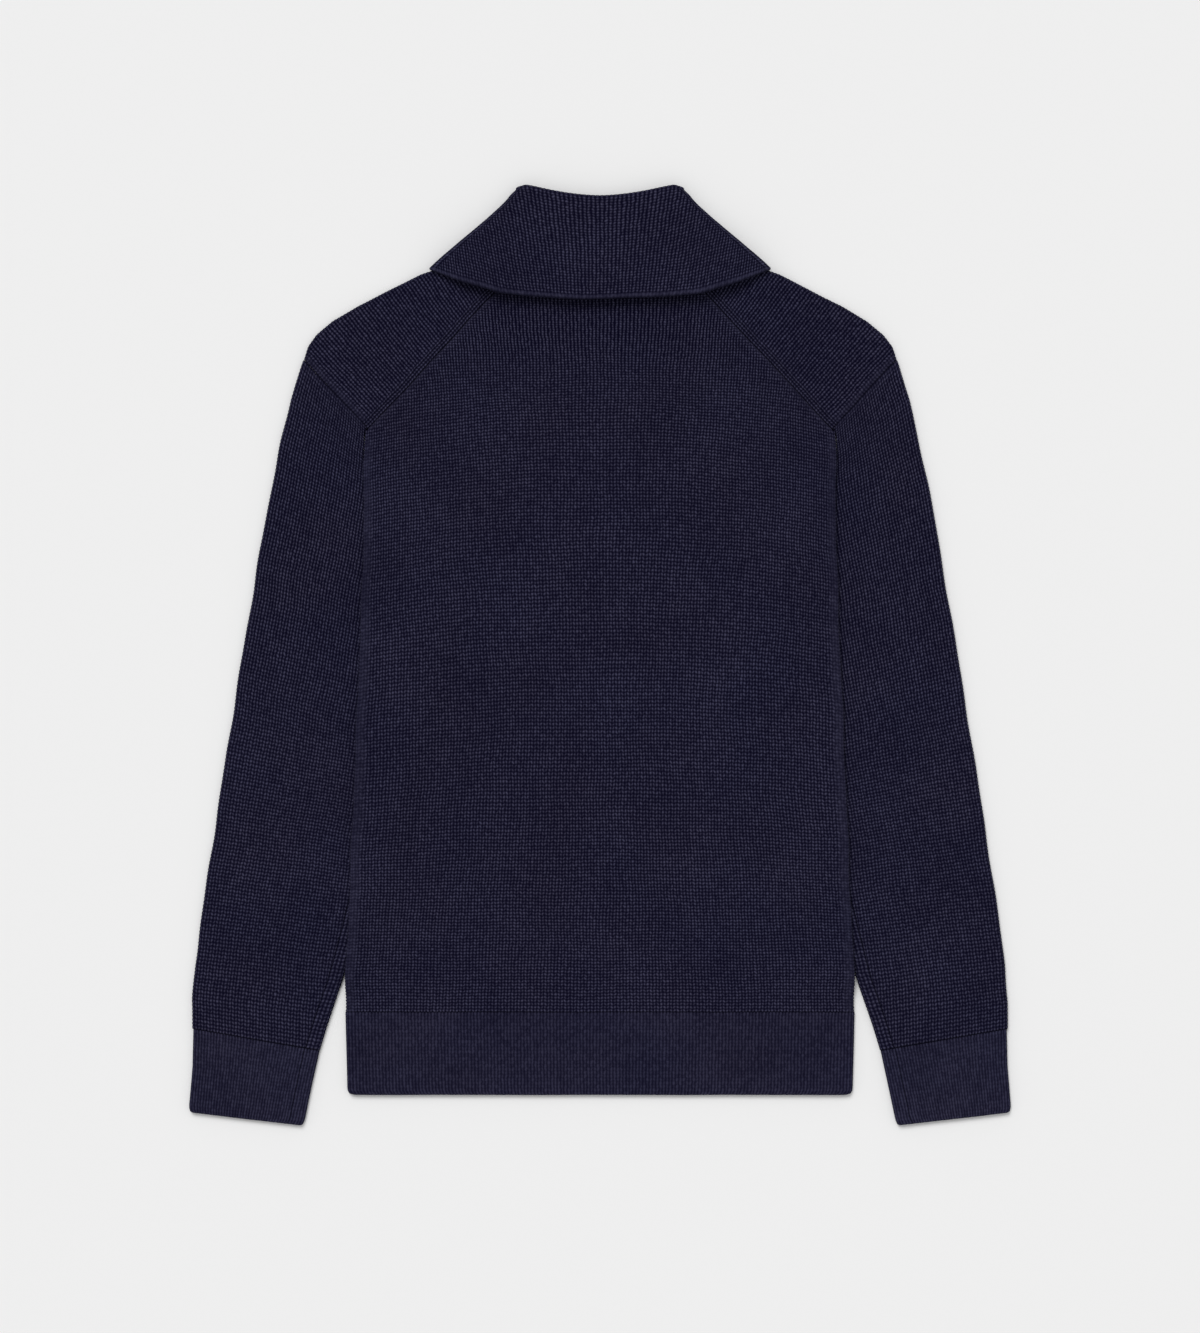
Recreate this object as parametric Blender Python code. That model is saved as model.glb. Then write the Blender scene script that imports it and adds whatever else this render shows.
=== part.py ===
"""Heavy knit quarter button sweater, laid face down with its back up.

World frame: metres, +X to the right of the back as it is seen from above, +Y
towards the collar, +Z up. The origin lies on the floor under the middle of
the garment's outline. Every panel is a closed wall of cloth. A layer is one
thickness of cloth in the pile: layer 0 is on the floor, and the next one lies
LAYER higher.
"""

import math

import bmesh
import bpy
import numpy as np

# Cloth
CLOTH = 0.0022          # thickness of the knit wall
LAYER = 0.0028          # height from one laid layer to the next
SEAM = 0.0003           # gap between two pieces that are sewn together
LOW = CLOTH / 2         # middle of the layer on the floor
HIGH = LOW + LAYER      # middle of the layer above it
FOLD = LAYER / 2        # radius of a fold, to the middle of the cloth
REACH = FOLD + CLOTH / 2  # how far a fold's outer side stands past its centre
FOLD_STEPS = 4
WELD = 0.000001         # points nearer than this are one
SHARP_EDGE = 50.0       # degrees between two faces from which their edge is drawn sharp

# Heights along the garment, from the origin
NECK_FRONT = 0.2604     # the front's neckline at the placket
V_POINT = 0.1885        # where the shoulder seam, the sleeve and the back's fold meet

# The pile is thicker over the sleeves and over the collar's leaves
SLEEVE_RISE = 2 * LAYER
LEAF_RISE_FRONT = 0.0030
LEAF_RISE_BACK = 0.0033
SLEEVE_SLOPE = 0.035    # the back runs down over this width inside the sleeve's edge
FLAP_SLOPE = 0.012      # a strip under the back runs down to the floor over this width
LEAF_SLOPE = 0.040
PLACKET_LEAD = 0.0120   # the cloth is already up this far below the placket
FOLD_RISE_TOP = 0.1660      # the fold climbs on the sleeve between V_POINT and here
FOLD_RISE_BOTTOM = (-0.2950, -0.2680)

# Ribs, one knit-one purl
RIB_DEPTH = 0.0006
HEM_RIBS = 150
CUFF_RIBS = 36

# Where the columns and rows of a panel lie, as fractions of its width or height
HALF_BACK_COLUMNS = (0.0, 0.08, 0.2, 0.32, 0.46, 0.6, 0.74, 0.88, 1.0)
UPPER_BACK_ROWS = (0.0, 0.02, 0.1, 0.25, 0.4, 0.55, 0.7, 0.85, 1.0)
STRIP_COLUMNS = (0.0, 0.5, 0.625, 0.75, 0.875, 1.0)

# How many steps a panel has across, or from top to bottom where it says rows
SLIT_STEPS = 1
NECK_STEPS = 4
SHOULDER_STEPS = 7
YOKE_ROWS = 5
TUBE_STEPS = 5
STRIP_STEPS = 1
HEM_BACK_STEPS = 12
HEM_FRONT_STEPS = 8
BAND_STEPS = 2
BAND_ROWS = 6

# Body sides, one row a section, from hem to the V point. y is the height of the
# row, edge the half width that shows, seam the half width to the end of the
# strip that is turned under the back, front the half width of the front panel,
# drop is 1 where the strip comes down to the floor and is sewn to the front.
BODY_COLUMNS = ("y", "edge", "seam", "front", "drop")
BODY_SIDE = (
    (-0.3001, 0.2138, 0.2043, 0.2040, 1.0),
    (-0.2950, 0.2138, 0.2040, 0.2037, 1.0),
    (-0.2865, 0.2138, 0.2036, 0.2033, 1.0),
    (-0.2780, 0.2137, 0.2031, 0.2028, 1.0),
    (-0.2680, 0.2136, 0.2020, 0.2017, 1.0),
    (-0.2200, 0.2117, 0.1885, 0.1882, 1.0),
    (-0.1600, 0.2093, 0.1720, 0.1717, 1.0),
    (-0.1000, 0.2068, 0.1556, 0.1553, 1.0),
    (-0.0500, 0.2047, 0.1420, 0.1417, 1.0),
    (0.0000, 0.2026, 0.1283, 0.1280, 1.0),
    (0.0294, 0.2013, 0.1318, 0.1312, 0.0),
    (0.0600, 0.2003, 0.1466, 0.1483, 0.0),
    (0.0800, 0.1997, 0.1563, 0.1580, 0.0),
    (0.0920, 0.1993, 0.1621, 0.1638, 0.0),
    (0.1400, 0.1987, 0.1854, 0.1871, 0.0),
    (0.1640, 0.1986, 0.1945, 0.1942, 0.0),
    (0.1720, 0.1986, 0.1945, 0.1942, 0.0),
    (0.1800, 0.1985, 0.1945, 0.1942, 0.0),
    (0.1885, 0.1985, 0.1945, 0.1942, 0.0),
)

# The hidden inner edge of a sleeve, under the body
SLEEVE_EDGE_COLUMNS = ("y", "x")
SLEEVE_EDGE = (
    (-0.2688, 0.2155),
    (0.0294, 0.1340),
    (0.1640, 0.1992),
    (0.1930, 0.1990),
)

# A sleeve, one row a section across it, from the shoulder to the cuff
TUBE_COLUMNS = ("outer_x", "outer_y", "inner_x", "inner_y")
SLEEVE_ROWS = (
    (0.2493, 0.2470, 0.1960, 0.1900),
    (0.2502, 0.2445, 0.1990, 0.1893),
    (0.2600, 0.2142, 0.1992, 0.1780),
    (0.2675, 0.1806, 0.1992, 0.1640),
    (0.2751, 0.1436, 0.1827, 0.1300),
    (0.2818, 0.1092, 0.1663, 0.0960),
    (0.2877, 0.0748, 0.1498, 0.0620),
    (0.2936, 0.0395, 0.1340, 0.0294),
    (0.2995, 0.0042, 0.1448, -0.0100),
    (0.3070, -0.0420, 0.1579, -0.0580),
    (0.3146, -0.0899, 0.1715, -0.1080),
    (0.3221, -0.1369, 0.1849, -0.1570),
    (0.3289, -0.1823, 0.1981, -0.2050),
    (0.3356, -0.2276, 0.2109, -0.2520),
    (0.3402, -0.2604, 0.2212, -0.2865),
    (0.3423, -0.2898, 0.2297, -0.3142),
    (0.3423, -0.3142, 0.2352, -0.3326),
)
ARMPIT_ROW = 7
CAP_EDGE_ROW = 3        # down to this row the open armhole's edges lie beside the body
CUFF_ROWS = (
    (0.3418, -0.3146, 0.2358, -0.3330),
    (0.3426, -0.3450, 0.2415, -0.3590),
    (0.3454, -0.3788, 0.2478, -0.3889),
    (0.3451, -0.3830, 0.2492, -0.3938),
    (0.3436, -0.3846, 0.2510, -0.3954),
)
UNDERARM_SEAM = 0.0100      # from a sleeve's inner edge to its seam, on the back

# Hem band, one row a section, from the body down to the rounded corner
HEM_COLUMNS = ("y", "edge")
HEM_ROWS = (
    (-0.3004, 0.2138),
    (-0.3655, 0.2123),
    (-0.3686, 0.2106),
    (-0.3697, 0.2075),
)
HEM_SEAM = 0.0095           # from the hem's edge to its side seam, underneath

# Shoulder line as it shows from above, x and y, from the sleeve's top to the neck
SHOULDER = (
    (0.2491, 0.2478),
    (0.2455, 0.2588),
    (0.2381, 0.2688),
    (0.2247, 0.2806),
    (0.2045, 0.2932),
    (0.1777, 0.3066),
    (0.1508, 0.3186),
    (0.1210, 0.3285),
    (0.0920, 0.3390),
)
YOKE_CORNER = (0.1953, 0.1898)      # the front's corner on the back, at the V point
NECK_CORNER = (0.0794, 0.3136)      # top of the diagonal seam on the back
NECK_BACK = 0.3108                  # the back's neckline in the middle
NECK_BACK_BEND = (0.0400, 0.3112)   # the neckline halfway to the diagonal seam
NECK_FRONT_BEND = (0.0500, 0.2960)  # the front's neckline between placket and shoulder
NECK_COLUMN = 0.0700                # where the front's column below the neck point starts
NECK_COLUMN_BEND = (0.0780, 0.2200)
SEAM_BEND_GAP = (0.00045, 0.00006)  # how far the back stays clear of the front's corner
SEAM_TOP_GAP = (0.00060, 0.00036)   # and of the top of the diagonal seam
CORNER_GAP = (0.0003, 0.0006)       # the floor layer's corner, clear of the back's fold

# Collar, one row a ring from the neckline up the stand and down the fall. A
# ring runs from the centre front to the side, round it and over the back. side
# is the outline at the side, corner and mid lie on the back, front is the end.
COLLAR_COLUMNS = ("side_x", "side_y", "corner_x", "corner_y", "mid_y", "front_x", "front_y")
COLLAR_RINGS = {
    "neckline": (0.0916, 0.3395, 0.0790, 0.3140, 0.3113, 0.0022, 0.2608),
    "crest": (0.0672, 0.3932, 0.0590, 0.3965, 0.3864, 0.0022, 0.2800),
    "edge": (0.1441, 0.3236, 0.0836, 0.3049, 0.2982, 0.0500, 0.2100),
}
COLLAR_LAYER = 0.0030
COLLAR_MIDDLE = CLOTH / 2 + 1.5 * COLLAR_LAYER
COLLAR_CURL = 0.0016        # how far the fall's lower edge stands off the back
CURL_START = 2 / 7          # share of the fall at which it starts to stand off
COLLAR_ROLL = 0.0006        # extra thickness of the rolled edge
COLLAR_DIP = 1.7            # power of the curve in which its edges dip to the middle
STAND_STEPS = 2
FALL_STEPS = 5
COLLAR_BACK_STEPS = 14
COLLAR_FRONT_STEPS = 4

# Placket and buttons
BAND_WIDTH = 0.0300
BAND_CLOTH = 0.0016
BAND_END = 0.0920
BUTTON_THICKNESS = 0.0020
BUTTON_HEIGHTS = (0.1170, 0.1720, 0.2270)
BUTTON_HOLES = 4
BUTTON_HOLE = 0.0009
BUTTON_HOLE_SPACING = 0.0036
BUTTON_SEGMENTS = 20
HOLE_SEGMENTS = 6
# Section of a button, radius and height, from the middle of its rimmed face
BUTTON_PROFILE = (
    (0.0, 0.0005),
    (0.0058, 0.0005),
    (0.0065, 0.0),
    (0.0081, 0.0),
    (0.0085, 0.0005),
    (0.0085, 0.0014),
    (0.0077, 0.0020),
    (0.0, 0.0020),
)
SLIT = BAND_WIDTH / 2 + SEAM

NAVY = (0.0137, 0.0130, 0.0273, 1.0)
NAVY_RIB = (0.0160, 0.0152, 0.0310, 1.0)
HORN = (0.0180, 0.0140, 0.0130, 1.0)


# ---------------------------------------------------------------- small helpers

def clear_scene():
    """Remove every object that is already there."""
    for item in list(bpy.data.objects):
        bpy.data.objects.remove(item, do_unlink=True)


def smooth(x):
    """Soft step from 0 to 1 as x runs from 0 to 1."""
    x = np.clip(x, 0.0, 1.0)
    return x * x * (3.0 - 2.0 * x)


def column(rows, names, name):
    """One named column of a table, as an array."""
    return np.array([row[names.index(name)] for row in rows])


def along(points, at):
    """Points of a polyline at fractions of its length."""
    points = np.asarray(points, dtype=float)
    steps = np.linalg.norm(np.diff(points, axis=0), axis=1)
    length = np.concatenate([[0.0], np.cumsum(steps)])
    at = np.asarray(at) * length[-1]
    return np.stack([np.interp(at, length, points[:, k]) for k in range(points.shape[1])], axis=-1)


def unit(vectors):
    """Vectors scaled to length 1."""
    vectors = np.asarray(vectors, dtype=float)
    return vectors / np.linalg.norm(vectors, axis=-1, keepdims=True)


def make_material(name, colour, roughness):
    """Plain finish of one piece."""
    material = bpy.data.materials.new(name)
    material.use_nodes = True
    shader = material.node_tree.nodes["Principled BSDF"]
    shader.inputs["Base Color"].default_value = colour
    shader.inputs["Roughness"].default_value = roughness
    shader.inputs["Metallic"].default_value = 0.0
    return material


# ------------------------------------------------------------------- the pile

def leaf_half_width(y):
    """Half width of the area over the collar's two leaves, at height y."""
    foot_x, foot_y = COLLAR_RINGS["edge"][5:7]
    side_x, side_y = COLLAR_RINGS["edge"][0:2]
    part = np.clip((y - foot_y) / (side_y - foot_y), 0.0, 1.0)
    return foot_x + part * (side_x - foot_x)


def leaf_share(x, y):
    """1 over the collar's leaves and the placket, 0 well away from them."""
    out = (np.abs(x) - leaf_half_width(y)) / LEAF_SLOPE
    below = (COLLAR_RINGS["edge"][6] - y) / LEAF_SLOPE
    leaves = (1.0 - smooth(out)) * (1.0 - smooth(below))
    beside = (np.abs(x) - SLIT) / LEAF_SLOPE
    under = (BAND_END - PLACKET_LEAD - y) / LEAF_SLOPE
    strip = (1.0 - smooth(beside)) * (1.0 - smooth(under))
    return np.maximum(leaves, strip)


def sleeve_edge(y):
    """Half width at which the sleeve's hidden inner edge lies."""
    return np.interp(y, column(SLEEVE_EDGE, SLEEVE_EDGE_COLUMNS, "y"),
                     column(SLEEVE_EDGE, SLEEVE_EDGE_COLUMNS, "x"))


def sleeve_share(x, y):
    """1 where the back lies on a sleeve, running down to 0 inside it."""
    low, high = FOLD_RISE_BOTTOM
    window = smooth((y - low) / (high - low)) * smooth((V_POINT - y) / (V_POINT - FOLD_RISE_TOP))
    return window * (1.0 - smooth((sleeve_edge(y) - np.abs(x)) / SLEEVE_SLOPE))


def front_height(x, y):
    """Middle of the front's cloth above the floor."""
    return LOW + LEAF_RISE_FRONT * leaf_share(x, y)


def back_height(x, y):
    """Middle of the back's cloth above the floor."""
    rise = np.maximum(LEAF_RISE_BACK * leaf_share(x, y), SLEEVE_RISE * sleeve_share(x, y))
    return HIGH + rise


# ------------------------------------------------------------- walls of cloth

class Wall:
    """A closed wall of cloth, put together from patches.

    A patch is a surface: a function that gives the middle of the cloth and its
    outward direction for two parameters u and v. Its outer and its inner side
    may have different steps, so a ribbed outside lies over a plain inside.
    """

    def __init__(self, name, cloth=CLOTH):
        self.name = name
        self.half = cloth / 2
        self.points = []
        self.faces = []

    def grid(self, points):
        """Add a grid of points with its faces, and return their numbers."""
        rows, columns = points.shape[:2]
        first = len(self.points)
        self.points.extend(points.reshape(-1, 3).tolist())
        index = np.arange(first, first + rows * columns).reshape(rows, columns)
        corners = (index[:-1, :-1], index[:-1, 1:], index[1:, 1:], index[1:, :-1])
        self.faces.extend(np.stack(corners, axis=-1).reshape(-1, 4).tolist())
        return index

    def rim(self, outer, inner, outer_at, inner_at):
        """Join an outer run of points to an inner one, always by the nearer next point."""
        i = j = 0
        while i < len(outer) - 1 or j < len(inner) - 1:
            inner_done = j == len(inner) - 1
            outer_next = i < len(outer) - 1 and (inner_done or outer_at[i + 1] <= inner_at[j + 1])
            if outer_next:
                self.faces.append((outer[i], outer[i + 1], inner[j]))
                i += 1
            else:
                self.faces.append((outer[i], inner[j + 1], inner[j]))
                j += 1

    def patch(self, surface, u, v, rims, u_inner=None, relief=None):
        """Add a patch. rims names its free sides: first_u, last_u, first_v, last_v."""
        u = np.asarray(u, dtype=float)
        v = np.asarray(v, dtype=float)
        u_inner = u if u_inner is None else np.asarray(u_inner, dtype=float)
        outer_v, outer_u = np.meshgrid(v, u, indexing="ij")
        inner_v, inner_u = np.meshgrid(v, u_inner, indexing="ij")
        middle, out = surface(outer_u, outer_v)
        rise = self.half if relief is None else self.half + relief(outer_u, outer_v)[..., None]
        outer = self.grid(middle + out * rise)
        middle, out = surface(inner_u, inner_v)
        inner = self.grid(middle - out * self.half)
        if "first_v" in rims:
            self.rim(outer[0], inner[0], u, u_inner)
        if "last_v" in rims:
            self.rim(outer[-1], inner[-1], u, u_inner)
        if "first_u" in rims:
            self.rim(outer[:, 0], inner[:, 0], v, v)
        if "last_u" in rims:
            self.rim(outer[:, -1], inner[:, -1], v, v)

    def finish(self, material):
        """Weld the patches, turn every face outwards and make the object."""
        mesh = bpy.data.meshes.new(self.name)
        mesh.from_pydata(self.points, [], [tuple(int(i) for i in face) for face in self.faces])
        work = bmesh.new()
        work.from_mesh(mesh)
        bmesh.ops.remove_doubles(work, verts=work.verts, dist=WELD)
        bmesh.ops.dissolve_degenerate(work, edges=work.edges, dist=WELD / 2)
        bmesh.ops.triangulate(work, faces=work.faces)
        bmesh.ops.recalc_face_normals(work, faces=work.faces)
        work.to_mesh(mesh)
        work.free()
        mesh.materials.append(material)
        mesh.shade_smooth()
        mesh.set_sharp_from_angle(angle=math.radians(SHARP_EDGE))
        item = bpy.data.objects.new(self.name, mesh)
        bpy.context.scene.collection.objects.link(item)
        return item


def laid(plan, height, up):
    """Surface of a panel that lies flat: its plan, with a height over each point."""
    def surface(u, v):
        flat = plan(u, v)
        z = height(flat[..., 0], flat[..., 1])
        middle = np.concatenate([flat, z[..., None]], axis=-1)
        out = np.zeros_like(middle)
        out[..., 2] = up
        return middle, out
    return surface


def fill(low, high, left, right):
    """Plan of a panel between four sides (a Coons patch).

    low and high run along u, left and right along v. Each is a function of a
    fraction. The plan is the two ruled fills between opposite sides, less the
    bilinear one of the four corners.
    """
    def plan(u, v):
        u1 = u[..., None]
        v1 = v[..., None]
        ruled_v = (1 - v1) * low(u) + v1 * high(u)
        ruled_u = (1 - u1) * left(v) + u1 * right(v)
        zero = np.zeros_like(u)
        one = np.ones_like(u)
        corners = ((1 - u1) * (1 - v1) * low(zero) + u1 * (1 - v1) * low(one)
                   + (1 - u1) * v1 * high(zero) + u1 * v1 * high(one))
        return ruled_v + ruled_u - corners
    return plan


def run(points):
    """A side of a panel: a polyline read at fractions of its length."""
    return lambda at: along(points, at)


def rungs(points):
    """A side of a panel whose points are spread evenly over the fractions."""
    points = np.asarray(points, dtype=float)
    index = np.linspace(0.0, 1.0, len(points))
    return lambda at: np.stack([np.interp(at, index, points[:, k]) for k in (0, 1)], axis=-1)


def turn(centre, outward, high, low, angle):
    """Half round fold from the upper to the lower layer, as angle runs from 0 to pi."""
    radius = (high - low) / 2
    middle_z = (high + low) / 2
    side = np.sin(angle)
    top = np.cos(angle)
    flat = centre + outward * (radius * side)[..., None]
    middle = np.concatenate([flat, (middle_z + radius * top)[..., None]], axis=-1)
    out = np.concatenate([outward * side[..., None], top[..., None]], axis=-1)
    return middle, out


def steps(count):
    """Fractions from 0 to 1 in equal steps."""
    return np.linspace(0.0, 1.0, count + 1)


# ------------------------------------------------------------------ the body

def body_row(name, v):
    """A column of the body's side table at a fraction of its rows."""
    values = column(BODY_SIDE, BODY_COLUMNS, name)
    return np.interp(v * (len(values) - 1), np.arange(len(values)), values)


def back_main(u, v):
    """The back between its two side folds, from the hem to the V point."""
    half = body_row("edge", v) - REACH
    x = (2 * u - 1) * half
    y = body_row("y", v)
    middle = np.stack([x, y, back_height(x, y)], axis=-1)
    out = np.zeros_like(middle)
    out[..., 2] = 1.0
    return middle, out


def back_side(side):
    """Fold at the back's side, from its tangent line round to the layer below."""
    def surface(u, v):
        half = body_row("edge", v) - REACH
        y = body_row("y", v)
        x = side * half
        high = back_height(x, y)
        outward = np.zeros(u.shape + (2,))
        outward[..., 0] = side
        return turn(np.stack([x, y], axis=-1), outward, high, high - LAYER, u * math.pi)
    return surface


def back_strip(side):
    """Strip turned under the back, from its fold to the side seam."""
    def surface(u, v):
        edge = body_row("edge", v) - REACH
        seam = body_row("seam", v)
        y = body_row("y", v)
        start = np.minimum(edge - 2 * SEAM, sleeve_edge(y) - 3 * SEAM)
        half = np.where(u < 0.5, edge + (start - edge) * 2 * u, start + (seam - start) * (2 * u - 1))
        low = back_height(edge, y) - LAYER
        slope = smooth((start - half) / np.clip(start - seam, SEAM, FLAP_SLOPE))
        drop = body_row("drop", v) * (low - LOW) * slope
        middle = np.stack([side * half, y, low - drop], axis=-1)
        out = np.zeros_like(middle)
        out[..., 2] = -1.0
        return middle, out
    return surface


def make_back(material):
    """Back panel, with the strips that are turned under along the sleeves."""
    wall = Wall("back")
    rows = steps(len(BODY_SIDE) - 1)
    half_across = np.array(HALF_BACK_COLUMNS)
    across = np.unique(np.concatenate([0.5 - 0.5 * half_across, 0.5 + 0.5 * half_across]))
    wall.patch(back_main, across, rows, ("first_v",))
    for side in (-1, 1):
        wall.patch(back_side(side), steps(FOLD_STEPS), rows, ("first_v", "last_v"))
        wall.patch(back_strip(side), STRIP_COLUMNS, rows, ("first_v", "last_v", "last_u"))
    start = body_row("edge", np.array([1.0]))[0] - REACH
    seam_foot = (start, V_POINT)
    seam_bend = tuple(np.subtract(YOKE_CORNER, SEAM_BEND_GAP))
    seam_top = tuple(np.subtract(NECK_CORNER, SEAM_TOP_GAP))
    bend_x, bend_y = NECK_BACK_BEND
    neck = [(-seam_top[0], seam_top[1]), (-bend_x, bend_y), (0.0, NECK_BACK), (bend_x, bend_y), seam_top]
    left = [(-x, y) for x, y in (seam_foot, seam_bend, seam_top)]
    right = [seam_foot, seam_bend, seam_top]

    def low(u):
        return np.stack([(2 * u - 1) * start, np.full(np.shape(u), V_POINT)], axis=-1)

    plan = fill(low, run(neck), run(left), run(right))
    wall.patch(laid(plan, back_height, 1.0), across, UPPER_BACK_ROWS, ("last_v", "first_u", "last_u"))
    return wall.finish(material)


def shoulder_direction(at):
    """Direction from the shoulder's outline into the panel, turning from sleeve to neck."""
    first = unit(np.subtract(YOKE_CORNER, SHOULDER[0]))
    last = unit(np.subtract(NECK_CORNER, SHOULDER[-1]))
    at = np.asarray(at)[..., None]
    return unit((1 - at) * first + at * last)


def shoulder_line(at):
    """Centre of the shoulder's fold at a fraction of the shoulder line, right side."""
    return along(SHOULDER, at) + shoulder_direction(at) * REACH


def make_front(material):
    """Front panel: the floor layer, and the shoulders that wrap over to the back."""
    wall = Wall("front")
    heights = column(BODY_SIDE, BODY_COLUMNS, "y")
    edges = column(BODY_SIDE, BODY_COLUMNS, "front")
    lower = heights <= BAND_END
    upper = heights >= BAND_END
    corner = (YOKE_CORNER[0] - CORNER_GAP[0], YOKE_CORNER[1] + CORNER_GAP[1])
    top_outer = shoulder_line(np.array(0.0))
    top_neck = shoulder_line(np.array(1.0))
    armhole = list(zip(edges[upper], heights[upper])) + [corner, tuple(top_outer)]
    neck = [(SLIT, NECK_FRONT - SEAM), NECK_FRONT_BEND, tuple(top_neck)]
    neck_column = [(NECK_COLUMN, BAND_END), NECK_COLUMN_BEND, tuple(top_neck)]
    neck_at = steps(NECK_STEPS)
    shoulder_at = steps(SHOULDER_STEPS)
    lower_rows = steps(int(lower.sum()) - 1)
    upper_rows = steps(len(armhole) - 1)

    def lower_line(x):
        return rungs([(x, y) for y in heights[lower]])

    lower_side = rungs(list(zip(edges[lower], heights[lower])))
    bottom_right = (edges[lower][0], heights[0])
    top_right = (edges[lower][-1], BAND_END)
    strips = (
        (0.0, SLIT, lower_line(SLIT), steps(SLIT_STEPS), ("first_v", "last_v")),
        (SLIT, NECK_COLUMN, lower_line(NECK_COLUMN), neck_at, ("first_v",)),
        (NECK_COLUMN, None, lower_side, shoulder_at, ("first_v", "last_u")),
    )
    for side in (-1, 1):
        mirror = np.array([side, 1.0])

        def floor_patch(plan, u, v, free, mirror=mirror):
            wall.patch(laid(lambda a, b: plan(a, b) * mirror, front_height, -1.0), u, v, free)

        for left_x, right_x, right, at, free in strips:
            low_end = bottom_right if right_x is None else (right_x, heights[0])
            high_end = top_right if right_x is None else (right_x, BAND_END)
            plan = fill(run([(left_x, heights[0]), low_end]), run([(left_x, BAND_END), high_end]),
                        lower_line(left_x), right)
            floor_patch(plan, at, lower_rows, free)
        plan = fill(run([(SLIT, BAND_END), neck_column[0]]), run(neck),
                    run([(SLIT, BAND_END), neck[0]]), run(neck_column))
        floor_patch(plan, neck_at, upper_rows, ("first_u", "last_v"))
        plan = fill(run([neck_column[0], armhole[0]]), lambda at: shoulder_line(1 - at),
                    run(neck_column), rungs(armhole))
        floor_patch(plan, shoulder_at, upper_rows, ("last_u",))

        def fold(u, v, mirror=mirror):
            centre = shoulder_line(1 - u) * mirror
            outward = -shoulder_direction(1 - u) * mirror
            high = back_height(centre[..., 0], centre[..., 1])
            low = front_height(centre[..., 0], centre[..., 1])
            return turn(centre, outward, high, low, (1 - v) * math.pi)

        wall.patch(fold, shoulder_at, steps(FOLD_STEPS), ("first_u", "last_u"))
        plan = fill(lambda at: shoulder_line(1 - at), run([NECK_CORNER, YOKE_CORNER]),
                    run([tuple(top_neck), NECK_CORNER]), run([tuple(top_outer), YOKE_CORNER]))
        wall.patch(laid(lambda a, b, plan=plan, mirror=mirror: plan(a, b) * mirror, back_height, 1.0),
                   shoulder_at, steps(YOKE_ROWS), ("first_u", "last_u", "last_v"))
    return wall.finish(material)


# ------------------------------------------------------- sleeves and cuffs

def tube_row(rows, name, v):
    """A column of a tube's table at a fraction of its rows."""
    values = column(rows, TUBE_COLUMNS, name)
    return np.interp(v * (len(values) - 1), np.arange(len(values)), values)


def tube_section(rows, side, v):
    """Centres of a flat tube's two edge folds, and the way from the inner to the outer."""
    outer = np.stack([tube_row(rows, "outer_x", v), tube_row(rows, "outer_y", v)], axis=-1)
    inner = np.stack([tube_row(rows, "inner_x", v), tube_row(rows, "inner_y", v)], axis=-1)
    way = unit(outer - inner)
    mirror = np.array([side, 1.0])
    return (outer - way * REACH) * mirror, (inner + way * REACH) * mirror, way * mirror


def flat_layer(start, end, u, z, up):
    """Straight layer of a tube between two plan points."""
    flat = start + (end - start) * u[..., None]
    middle = np.concatenate([flat, np.full(u.shape + (1,), z)], axis=-1)
    out = np.zeros_like(middle)
    out[..., 2] = up
    return middle, out


def make_tube(name, material, side, rows, open_rows, ribs=0):
    """A laid tube with an underarm seam. The first open_rows rows are not closed."""
    wall = Wall(name)
    last = len(rows) - 1

    def seam_shift(v):
        closing = smooth((v * last - open_rows) / 2.0) if open_rows else np.ones_like(v)
        return 2 * SEAM + (UNDERARM_SEAM - 2 * SEAM) * closing

    def beside_body(v):
        if not open_rows:
            return np.zeros_like(v)
        return 1.0 - smooth((v * last - CAP_EDGE_ROW) / 2.0)

    def top(u, v):
        outer, inner, way = tube_section(rows, side, v)
        start = inner + way * (seam_shift(v) - (REACH + 2 * SEAM) * beside_body(v))[..., None]
        return flat_layer(start, outer, u, HIGH, 1.0)

    def outer_fold(u, v):
        outer, _, way = tube_section(rows, side, v)
        full = np.full(u.shape, HIGH)
        return turn(outer, way, full, full - LAYER, u * math.pi)

    def bottom(u, v):
        outer, inner, way = tube_section(rows, side, v)
        return flat_layer(outer, inner - way * REACH * beside_body(v)[..., None], u, LOW, -1.0)

    def inner_fold(u, v):
        _, inner, way = tube_section(rows, side, v)
        full = np.full(u.shape, HIGH)
        return turn(inner, -way, full, full - LAYER, (1 - u) * math.pi)

    def inner_strip(u, v):
        _, inner, way = tube_section(rows, side, v)
        return flat_layer(inner, inner + way * (seam_shift(v) - SEAM)[..., None], u, HIGH, 1.0)

    def ribbed(u, v):
        return -RIB_DEPTH * np.round(np.abs(np.sin(u * ribs * math.pi)))

    whole = np.arange(last + 1) / last
    closed = np.arange(open_rows, last + 1) / last
    across = steps(TUBE_STEPS)
    fine = steps(2 * ribs) if ribs else across
    ends = ("first_v", "last_v")
    wall.patch(top, fine, whole, ends + ("first_u",), across, ribbed if ribs else None)
    wall.patch(outer_fold, steps(FOLD_STEPS), whole, ends)
    open_part = np.arange(0, open_rows + 1) / last
    if open_rows:
        wall.patch(bottom, across, open_part, ("first_v", "last_u"))
        wall.patch(bottom, across, closed, ("last_v",))
    else:
        wall.patch(bottom, across, whole, ends)
    wall.patch(inner_fold, steps(FOLD_STEPS), closed, ends)
    wall.patch(inner_strip, steps(STRIP_STEPS), closed, ends + ("last_u",))
    return wall.finish(material)


# ---------------------------------------------------------------------- hem

def hem_row(name, v):
    """A column of the hem's table at a fraction of its rows."""
    values = column(HEM_ROWS, HEM_COLUMNS, name)
    return np.interp(v * (len(values) - 1), np.arange(len(values)), values)


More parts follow.
